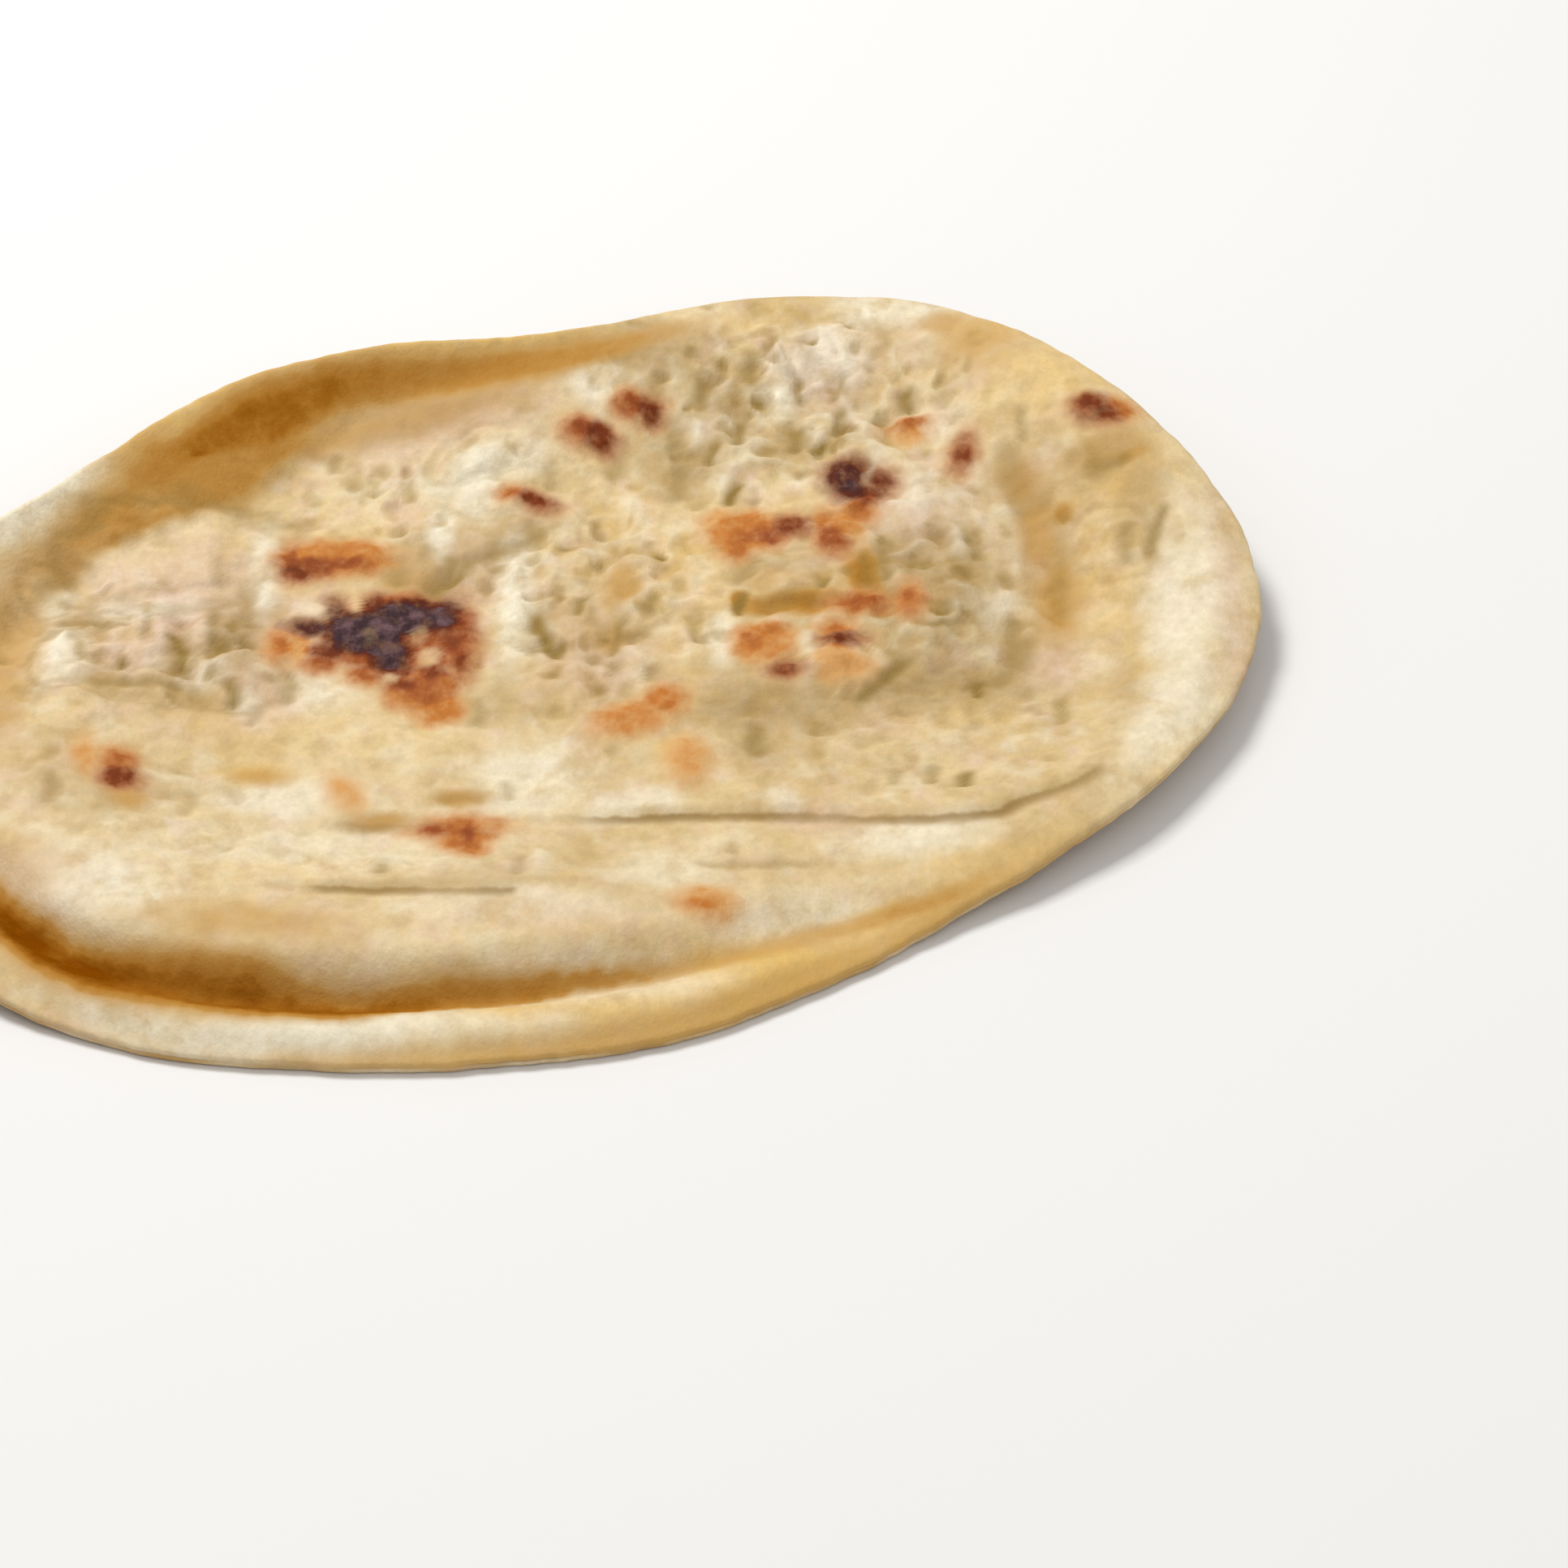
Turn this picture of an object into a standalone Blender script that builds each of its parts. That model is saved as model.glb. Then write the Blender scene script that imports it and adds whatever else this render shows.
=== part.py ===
"""A plain pan-fried paratha: one thin hand-rolled round of layered wheat dough.

The bread lies flat side down on z = 0, with its origin under the middle of its outline.
+X is its right, +Y its back. Lengths in the formulas are millimetres, angles are degrees.
"""
import bpy
from math import atan2, cos, degrees, hypot, radians, sin, sqrt

MM = 0.001

# --- sheet ---------------------------------------------------------------------------
MEAN_RADIUS = 79.4        # of the outline, so that the bread is about 171 by 158
THICKNESS = 2.3           # of the cooked sheet
RIM_THICKNESS = 1.7       # where rolling has thinned it, at the edge
RIM_WIDTH = 14.0          # over which it thins
EDGE_ROUND = 1.1          # depth of the rounded edge, measured inward
STEEPEST_OFFSET = 1.45    # limit of the vertical thickness on a slope, as a ratio

# How the hand-rolled outline departs from a circle: (lobes, height, direction of a lobe)
OUTLINE_LOBES = (
    (1, 2.0, -134.0),     # fuller towards the front left
    (2, 10.6, 34.0),      # oval, long from back right to front left
    (3, 0.4, -24.0),
    (4, 0.8, -36.0),
    (5, 1.7, -9.0),       # slight corners from the rolling pin
    (6, 1.1, 2.0),
    (7, 1.0, 18.0),
)

# --- rim that curls up ---------------------------------------------------------------
# Each curl: (direction, full half-width, fade, height of the edge)
LEFT_CURL = (150.0, 38.0, 48.0, 8.5)
BACK_CURL = (66.0, 24.0, 50.0, 6.5)
RIGHT_CURL = (5.0, 30.0, 38.0, 4.8)
LEFT_CURL_REACH = 8.0         # inward from the edge to the crease at its foot
LEFT_CURL_WIDER = ((137.0, 32.0, 7.5), (196.0, 44.0, 8.5))   # (direction, half-width, added)
LEFT_CURL_FILLET = 2.2
BACK_CURL_REACH = 38.0
RIGHT_CURL_REACH = 25.0
RIGHT_EDGE_DROP = 1.3         # the right rim rolls over and falls to its edge
RIGHT_ROLL_WIDTH = 6.0

# --- fold along the front ------------------------------------------------------------
FRONT_FOLD = (-122.0, 18.0, 66.0, 4.6)
FOLD_VALLEY = 9.5             # inward from the edge to the valley
FOLD_SHOULDER = 7.5           # from the valley up to the crest
FOLD_FOOT = 48.0              # inward from the edge to where the crest has died out
FOLD_LEAVES = (-74.0, -28.0)  # between these directions the valley runs out over the edge
FOLD_OUTSIDE = -4.0           # where it would be past the second direction
LIP_HEIGHT = 1.9              # of the bead between the valley and the edge
LIP_PLACE = 0.52              # of its crest, as a share of the way in to the valley

# --- puffed middle -------------------------------------------------------------------
PUFF_CENTRE = (24.0, 21.0)
PUFF_RADIUS = 30.0
PUFF_HEIGHT = 1.9
PUFF_SHOULDER = 9.0           # width of its sloping border
PUFF_FADE = (-8.0, 42.0)      # it grows from nothing at the first x to full at the second

# --- mesh ----------------------------------------------------------------------------
SEGMENTS = 104
# Rings near the rim, by their distance from the edge
RIM_STEPS = (0.0, 0.3, 1.1, 2.6, 4.2, 5.8, 7.5, 9.5, 11.4, 13.2, 15.0, 17.0, 20.0, 24.0, 29.0)
INNER_RINGS = 8


def ease(u):
    """Smooth step from 0 at u <= 0 to 1 at u >= 1."""
    u = min(max(u, 0.0), 1.0)
    return u * u * (3.0 - 2.0 * u)


def fillet_ramp(u, fillet):
    """0 below zero and u above it, joined by a round corner that spans +-fillet."""
    if u <= -fillet:
        return 0.0
    if u >= fillet:
        return u
    return (u + fillet) ** 2 / (4.0 * fillet)


def turn(angle, direction):
    """Angle between two directions, 0 to 180."""
    return abs((angle - direction + 180.0) % 360.0 - 180.0)


def window(angle, direction, full, fade):
    """1 within +-full of the direction, easing to 0 over the fade."""
    return 1.0 - ease((turn(angle, direction) - full) / fade)


def outline(angle):
    """Distance from the middle to the edge."""
    lobes = sum(h * cos(n * radians(angle - at)) for n, h, at in OUTLINE_LOBES)
    return MEAN_RADIUS + lobes


def left_curl(angle, inward):
    """Steep curl with a crease at its foot."""
    reach = LEFT_CURL_REACH
    for direction, half, added in LEFT_CURL_WIDER:
        reach += added * (1.0 - ease(turn(angle, direction) / half))
    direction, full, fade, height = LEFT_CURL
    slope = height / reach
    rise = slope * fillet_ramp(reach - inward, LEFT_CURL_FILLET)
    return window(angle, direction, full, fade) * rise


def back_curl(angle, inward):
    """Long gentle rise to the back right edge."""
    direction, full, fade, height = BACK_CURL
    return window(angle, direction, full, fade) * height * ease(1.0 - inward / BACK_CURL_REACH)


def right_curl(angle, inward):
    """Swell along the right rim that rolls over towards its edge."""
    direction, full, fade, height = RIGHT_CURL
    swell = height * ease(1.0 - inward / RIGHT_CURL_REACH)
    roll = RIGHT_EDGE_DROP * ease(1.0 - inward / RIGHT_ROLL_WIDTH)
    return window(angle, direction, full, fade) * (swell - roll)


def front_fold(angle, inward):
    """Crest, valley and lip along the front. The valley runs out over the edge at the right."""
    direction, full, fade, height = FRONT_FOLD
    signed = (angle + 280.0) % 360.0 - 280.0      # cut where there is no fold
    leaving = ease((signed - FOLD_LEAVES[0]) / (FOLD_LEAVES[1] - FOLD_LEAVES[0]))
    valley = FOLD_VALLEY + leaving * (FOLD_OUTSIDE - FOLD_VALLEY)
    crest = valley + FOLD_SHOULDER
    if inward > crest:
        rise = height * ease((FOLD_FOOT - inward) / (FOLD_FOOT - crest))
    else:
        rise = height * ease((inward - valley) / FOLD_SHOULDER)
    lip = LIP_HEIGHT * max(valley, 0.0) / FOLD_VALLEY
    if lip > 0.0:
        middle = LIP_PLACE * valley
        lip *= 1.0 - ease(abs(inward - middle) / (valley - middle))
    return window(angle, direction, full, fade) * (rise + lip)


def lift(angle, inward):
    """Height of the sheet's underside. The left and back curls run into one another."""
    curls = (left_curl(angle, inward) ** 3 + back_curl(angle, inward) ** 3) ** (1.0 / 3.0)
    return curls + right_curl(angle, inward) + front_fold(angle, inward)


def puff(x, y):
    """Extra thickness where the layers have blown apart."""
    away = hypot(x - PUFF_CENTRE[0], y - PUFF_CENTRE[1])
    grown = ease((x - PUFF_FADE[0]) / (PUFF_FADE[1] - PUFF_FADE[0]))
    return PUFF_HEIGHT * grown * ease((PUFF_RADIUS - away) / PUFF_SHOULDER + 0.5)


def slope_ratio(angle, inward):
    """Vertical thickness of a sloping sheet, as a ratio of its true thickness."""
    step = 0.5
    radius = max(outline(angle) - inward, step)
    along = (lift(angle, inward + step) - lift(angle, max(inward - step, 0.0))) / (2.0 * step)
    around = lift(angle + 1.0, inward) - lift(angle - 1.0, inward)
    around /= 2.0 * radians(1.0) * radius
    return min(sqrt(1.0 + along * along + around * around), STEEPEST_OFFSET)


def sheet_heights(x, y):
    """Underside and top of the bread at a point of its plan."""
    angle = degrees(atan2(y, x))
    inward = max(outline(angle) - hypot(x, y), 0.0)
    thick = RIM_THICKNESS + (THICKNESS - RIM_THICKNESS) * ease(inward / RIM_WIDTH)
    thick = (thick + puff(x, y)) * slope_ratio(angle, inward)
    depth = min(inward / EDGE_ROUND, 1.0)
    full = sqrt(1.0 - (1.0 - depth) ** 2)
    low = lift(angle, inward)
    return low + 0.5 * thick * (1.0 - full), low + 0.5 * thick * (1.0 + full)


def ring_radii(angle):
    """Radii of the rings along one direction, from the edge to the innermost ring."""
    edge = outline(angle)
    radii = [edge - step for step in RIM_STEPS]
    inner = radii[-1]
    radii += [inner * (1.0 - i / INNER_RINGS) for i in range(1, INNER_RINGS)]
    return radii


def bread_mesh():
    """Closed sheet: a top and an underside of matching rings that share the edge ring."""
    angles = [360.0 * i / SEGMENTS for i in range(SEGMENTS)]
    radii = [ring_radii(angle) for angle in angles]
    rings = len(radii[0])
    plan = []
    for ring in range(rings):
        for angle, row in zip(angles, radii):
            plan.append((row[ring] * cos(radians(angle)), row[ring] * sin(radians(angle))))
    plan.append((0.0, 0.0))

    middle_x = 0.5 * (min(p[0] for p in plan) + max(p[0] for p in plan))
    middle_y = 0.5 * (min(p[1] for p in plan) + max(p[1] for p in plan))
    vertices = []
    for side in (1, 0):
        for x, y in plan:
            height = sheet_heights(x, y)[side]
            vertices.append(((x - middle_x) * MM, (y - middle_y) * MM, height * MM))

    def index(side, ring, segment):
        own = 0 if ring == 0 else side * len(plan)
        return own + ring * SEGMENTS + segment % SEGMENTS

    faces = []
    for side in (0, 1):
        centre = side * len(plan) + rings * SEGMENTS
        for segment in range(SEGMENTS):
            for ring in range(rings - 1):
                quad = [
                    index(side, ring, segment),
                    index(side, ring, segment + 1),
                    index(side, ring + 1, segment + 1),
                    index(side, ring + 1, segment),
                ]
                faces.append(quad if side == 0 else quad[::-1])
            last = [index(side, rings - 1, segment), index(side, rings - 1, segment + 1), centre]
            faces.append(last if side == 0 else last[::-1])

    mesh = bpy.data.meshes.new("paratha")
    mesh.from_pydata(vertices, [], faces)
    mesh.validate()
    return mesh


def dough_material():
    """Cooked wheat dough, pale cream with a dry, slightly oiled surface."""
    material = bpy.data.materials.new("cooked wheat dough")
    material.use_nodes = True
    shader = material.node_tree.nodes["Principled BSDF"]
    shader.inputs["Base Color"].default_value = (0.716, 0.546, 0.323, 1.0)
    shader.inputs["Roughness"].default_value = 0.7
    shader.inputs["Metallic"].default_value = 0.0
    return material


def main():
    for obj in list(bpy.data.objects):
        bpy.data.objects.remove(obj, do_unlink=True)
    bread = bpy.data.objects.new("paratha", bread_mesh())
    bpy.context.scene.collection.objects.link(bread)
    bread.data.materials.append(dough_material())
    bread.data.shade_smooth()
    bread.data.set_sharp_from_angle(angle=radians(40.0))


main()
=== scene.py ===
"""Finish of a plain pan-fried paratha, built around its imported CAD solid.

The bread is one sheet of layered wheat dough, cooked on an iron pan and brushed with ghee.
Its form is worked out in millimetres and degrees, in the frame of the CAD solid: +X right,
+Y back, +Z up, with the origin on the resting surface under the middle of the bread.
"""

import math

import bpy
import numpy as np
from bpy.props import FloatProperty, FloatVectorProperty, IntProperty, PointerProperty
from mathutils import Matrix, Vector, noise


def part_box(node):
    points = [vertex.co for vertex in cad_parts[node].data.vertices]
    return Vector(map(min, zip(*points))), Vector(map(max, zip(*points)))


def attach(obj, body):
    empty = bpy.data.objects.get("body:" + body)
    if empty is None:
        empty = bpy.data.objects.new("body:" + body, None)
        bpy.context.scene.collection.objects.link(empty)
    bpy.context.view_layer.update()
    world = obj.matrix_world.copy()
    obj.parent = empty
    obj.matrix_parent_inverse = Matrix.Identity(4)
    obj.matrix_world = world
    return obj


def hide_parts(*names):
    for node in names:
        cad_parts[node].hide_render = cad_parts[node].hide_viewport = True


bl_info = {
    "name": "Paratha",
    "version": (1, 0, 0),
    "blender": (4, 5, 0),
    "location": "3D View > Sidebar > Paratha",
    "description": "Builds a pan-fried paratha and a plain studio around it",
    "category": "Add Mesh",
}

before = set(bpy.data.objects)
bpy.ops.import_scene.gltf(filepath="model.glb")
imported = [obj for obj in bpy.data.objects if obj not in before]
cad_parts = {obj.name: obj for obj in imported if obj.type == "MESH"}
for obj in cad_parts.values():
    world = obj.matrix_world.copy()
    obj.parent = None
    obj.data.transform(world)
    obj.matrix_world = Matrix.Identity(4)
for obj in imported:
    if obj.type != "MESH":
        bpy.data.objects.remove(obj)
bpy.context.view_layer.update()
CAD_LOW, CAD_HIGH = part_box("paratha")

MM = 0.001

# --- form shared with the CAD solid, in millimetres and degrees -----------------------------
CAD_WIDTH = 170.5         # of the solid that these sizes give
CAD_SEGMENTS = 104        # points round its edge
MEAN_RADIUS = 79.4
OUTLINE_LOBES = (
    (1, 2.0, -134.0),     # (lobes, height, direction): fuller towards the front left
    (2, 10.6, 34.0),      # oval, long from back right to front left
    (3, 0.4, -24.0),
    (4, 0.8, -36.0),
    (5, 1.7, -9.0),       # slight corners from the rolling pin
    (6, 1.1, 2.0),
    (7, 1.0, 18.0),
)
RIM_WIDTH = 14.0          # over which the sheet thins towards its edge
STEEPEST_OFFSET = 1.45    # limit of the vertical thickness on a slope, as a ratio

# Curls of the rim and the fold along the front: (direction, full half-width, fade)
LEFT_CURL = (150.0, 38.0, 48.0)
LEFT_CURL_REACH = 8.0     # inward from the edge to the crease at its foot
LEFT_CURL_WIDER = ((137.0, 32.0, 7.5), (196.0, 44.0, 8.5))   # (direction, half-width, added)
LEFT_CURL_FILLET = 2.2
BACK_CURL = (66.0, 24.0, 50.0)
BACK_CURL_REACH = 38.0
RIGHT_CURL = (5.0, 30.0, 38.0)
RIGHT_CURL_REACH = 25.0
RIGHT_EDGE_DROP = 1.3     # the right rim rolls over and falls to its edge
RIGHT_ROLL_WIDTH = 6.0
FRONT_FOLD = (-122.0, 18.0, 66.0)
FOLD_VALLEY = 9.5         # inward from the edge to the valley
FOLD_SHOULDER = 7.5       # from the valley up to the crest
FOLD_FOOT = 48.0          # inward from the edge to where the crest has died out
FOLD_LEAVES = (-74.0, -28.0)      # between these directions the valley runs out over the edge
FOLD_OUTSIDE = -4.0       # where it would be past the second direction
LIP_HEIGHT = 1.9          # of the bead between the valley and the edge
LIP_PLACE = 0.52          # of its crest, as a share of the way in to the valley

# Puffed middle
PUFF_CENTRE = (24.0, 21.0)
PUFF_RADIUS = 30.0
PUFF_SHOULDER = 9.0       # width of its sloping border
PUFF_FADE = (-8.0, 42.0)  # it grows from nothing at the first x to full at the second


def linear(hex_colour):
    """Linear RGB of an sRGB hex colour."""
    values = [int(hex_colour[i:i + 2], 16) / 255.0 for i in (1, 3, 5)]
    return tuple(v / 12.92 if v <= 0.04045 else ((v + 0.055) / 1.055) ** 2.4 for v in values)


def ease(u):
    """Smooth step from 0 at u <= 0 to 1 at u >= 1."""
    u = np.clip(u, 0.0, 1.0)
    return u * u * (3.0 - 2.0 * u)


def between(value, none, full):
    """0 at one value, easing to 1 at the other."""
    return ease((value - none) / (full - none))


def turn(angle, direction):
    """Angle between two directions, 0 to 180."""
    return np.abs((angle - direction + 180.0) % 360.0 - 180.0)


def window(angle, span):
    """1 near the span's direction, easing to 0 over its fade."""
    direction, full, fade = span
    return 1.0 - ease((turn(angle, direction) - full) / fade)


def wavy(x, y, size, layer):
    """Smooth noise of about -1 to 1 whose swells are one size across."""
    points = zip(np.ravel(x / size), np.ravel(y / size))
    return np.array([noise.noise((a, b, layer)) for a, b in points])


def rough(x, y, size, octaves, layer):
    """Noise whose swells of one size carry finer ones, about -1 to 1."""
    points = zip(np.ravel(x / size), np.ravel(y / size))
    return np.array([noise.fractal((a, b, layer), 0.9, 2.0, octaves) for a, b in points])


def uneven(x, y, layer, *swells):
    """Sum of smooth noises of the given (height, size), each on a layer of its own."""
    return sum(high * wavy(x, y, size, layer + i) for i, (high, size) in enumerate(swells))


def domes(x, y, size, reach, layer):
    """Round-topped bumps, scattered one size apart and of varied width, 0 to 1."""
    points = zip(np.ravel(x / size), np.ravel(y / size))
    near = np.array([noise.voronoi((a, b, layer))[0][0] for a, b in points])
    return np.clip(1.0 - (near / reach) ** 2, 0.0, 1.0) ** 1.3


# --- large form ------------------------------------------------------------------------------

def outline(angle):
    """Distance from the middle of the sheet to its edge."""
    lobes = sum(h * np.cos(n * np.radians(angle - at)) for n, h, at in OUTLINE_LOBES)
    return MEAN_RADIUS + lobes


def outline_middle():
    """Middle of the outline's box, which the frame puts at its origin."""
    angle = np.arange(0.0, 360.0, 360.0 / CAD_SEGMENTS)
    x = outline(angle) * np.cos(np.radians(angle))
    y = outline(angle) * np.sin(np.radians(angle))
    return 0.5 * (x.min() + x.max()), 0.5 * (y.min() + y.max())


def left_curl(shape, angle, inward):
    """Steep curl with a crease at its foot."""
    reach = np.full_like(angle, LEFT_CURL_REACH)
    for direction, half, added in LEFT_CURL_WIDER:
        reach += added * (1.0 - ease(turn(angle, direction) / half))
    u = reach - inward
    fillet = LEFT_CURL_FILLET
    ramp = np.where(u < fillet, np.clip(u + fillet, 0.0, None) ** 2 / (4.0 * fillet), u)
    return window(angle, LEFT_CURL) * shape.left_curl / MM / reach * ramp


def back_curl(shape, angle, inward):
    """Long gentle rise to the back right edge."""
    rise = ease(1.0 - inward / BACK_CURL_REACH)
    return window(angle, BACK_CURL) * shape.back_curl / MM * rise


def right_curl(shape, angle, inward):
    """Swell along the right rim that rolls over towards its edge."""
    swell = shape.right_curl / MM * ease(1.0 - inward / RIGHT_CURL_REACH)
    roll = RIGHT_EDGE_DROP * ease(1.0 - inward / RIGHT_ROLL_WIDTH)
    return window(angle, RIGHT_CURL) * (swell - roll)


def front_angle(angle):
    """Angle from -280 to 80, so that it is cut where there is no fold."""
    return (angle + 280.0) % 360.0 - 280.0


def fold_valley(angle):
    """Distance in from the edge to the front valley, which runs out over the edge."""
    leaving = between(front_angle(angle), *FOLD_LEAVES)
    return FOLD_VALLEY + leaving * (FOLD_OUTSIDE - FOLD_VALLEY)


def front_fold(shape, angle, inward):
    """Crest, valley and lip along the front."""
    valley = fold_valley(angle)
    crest = valley + FOLD_SHOULDER
    start = np.where(inward > crest, FOLD_FOOT, valley)
    rise = shape.fold_height / MM * between(inward, start, crest)
    lip = LIP_HEIGHT * np.clip(valley, 0.0, None) / FOLD_VALLEY
    middle = LIP_PLACE * valley
    bead = 1.0 - ease(np.abs(inward - middle) / np.maximum(valley - middle, 0.1))
    return window(angle, FRONT_FOLD) * (rise + lip * bead)


def lift(shape, angle, inward):
    """Height of the underside. The left and back curls run into one another."""
    left = left_curl(shape, angle, inward)
    back = back_curl(shape, angle, inward)
    curls = np.cbrt(left ** 3 + back ** 3)
    return curls + right_curl(shape, angle, inward) + front_fold(shape, angle, inward)


def puff(shape, x, y):
    """Extra thickness where the layers have blown apart."""
    away = np.hypot(x - PUFF_CENTRE[0], y - PUFF_CENTRE[1])
    grown = between(x, *PUFF_FADE) * ease((PUFF_RADIUS - away) / PUFF_SHOULDER + 0.5)
    return shape.puff_height / MM * grown


def thickness(shape, angle, inward, x, y):
    """Vertical thickness of the sheet, more where it slopes."""
    step = 0.5
    radius = np.maximum(outline(angle) - inward, step)
    further = lift(shape, angle, inward + step)
    nearer = lift(shape, angle, np.maximum(inward - step, 0.0))
    along = (further - nearer) / (2.0 * step)
    around = lift(shape, angle + 1.0, inward) - lift(shape, angle - 1.0, inward)
    around = around / (2.0 * math.radians(1.0) * radius)
    slope = np.minimum(np.sqrt(1.0 + along ** 2 + around ** 2), STEEPEST_OFFSET)
    rim, full = shape.rim_thickness / MM, shape.thickness / MM
    thick = rim + (full - rim) * ease(inward / RIM_WIDTH)
    return (thick + puff(shape, x, y)) * slope


# --- layer edges, blisters and toasted spots --------------------------------------------------

# Lengths in these tables are millimetres and directions are degrees.

# Edges of the dough's folded layers: (step, groove, points). The layer on the left of the
# line's direction lies on top.
LAYER_EDGES = (
    (0.2, 0.3, ((-29, -33.5), (-22, -34.3), (-17, -34.8), (-11, -34.6))),
    (0.38, 0.6, ((-6, -33.4), (0, -33.4), (5, -34), (10, -34.3), (17, -34.3), (25, -34),
                 (35, -34.7), (44, -36.2), (49, -36.8), (52, -35.4), (55, -34), (59, -32.5),
                 (61.4, -30.6), (62.5, -28.2))),
    (0.28, 0.55, ((-32, -50.1), (-24, -50.9), (-15, -51.8), (-10, -52.3), (-5.6, -52.3))),
)
NO_EDGE = 9.0             # distance given where no layer edge is near

# Pale ridges where the skin stands up in a narrow pleat, their paleness partly a painted
# highlight: (height, half width, points)
PLEATS = (
    (0.5, 1.6, ((53, 38), (55.6, 27), (55.8, 17), (53.4, 8), (50.2, 1))),
    (0.45, 1.2, ((48.2, 27), (48.5, 22), (48, 17.5))),
    (0.35, 1.1, ((40.5, 3.6), (43.5, 2.9), (46.5, 5.4), (48.5, 9))),
    (0.4, 1.3, ((29, 4.5), (29.2, -1), (28.6, -7.5))),
    (0.3, 1.3, ((22, 13.2), (28, 13.4), (34.5, 13))),
    (0.35, 1.4, ((-7, -28.6), (-1, -27.4), (5.5, -30))),
    (0.4, 1.2, ((24.6, -29), (25, -31.4), (25.2, -33.4))),
    (0.6, 1.5, ((-38, 30.5), (-39, 24), (-38.6, 18), (-37.8, 11))),
    (0.7, 1.6, ((-7.6, 26), (-6.8, 16), (-7.2, 9), (-7, 2))),
    (0.3, 1.2, ((-2.5, 20), (-2.2, 14), (-1.6, 8))),
    (0.35, 1.1, ((1.5, 36), (-1.2, 30), (-2, 24))),
    (0.4, 1.1, ((21.4, 44), (19.4, 39), (18.6, 33))),
    (0.35, 1.2, ((6.5, 38), (8.5, 31), (9.5, 23))),
    (0.4, 1.4, ((-57.5, 11.5), (-54, 12.6), (-49.5, 12), (-45, 13.4))),
    (0.4, 1.2, ((-3.6, -51), (-3.3, -46), (-3.8, -40.5))),
    (0.3, 1.5, ((-64.5, -46.5), (-59.5, -52.5), (-52.5, -57.5), (-44, -60.5))),
    (0.45, 1.2, ((26.4, 68), (26, 62), (27, 56), (25.4, 50))),
    (0.4, 1, ((16.8, 53), (15.4, 49), (16, 45))), (0.45, 1, ((32.4, 52), (31.6, 47), (31.8, 43))),
    (0.45, 1.1, ((38.4, 54), (37.8, 48), (38.6, 43))),
    (0.35, 1, ((35.6, 49), (35.8, 45), (35.2, 42.5))),
    (0.35, 1.1, ((21, 60), (24.5, 57.5), (29, 57), (33, 59))),
    (0.3, 1, ((13.4, 4.5), (13.8, 0), (13.2, -4))),
)

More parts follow.
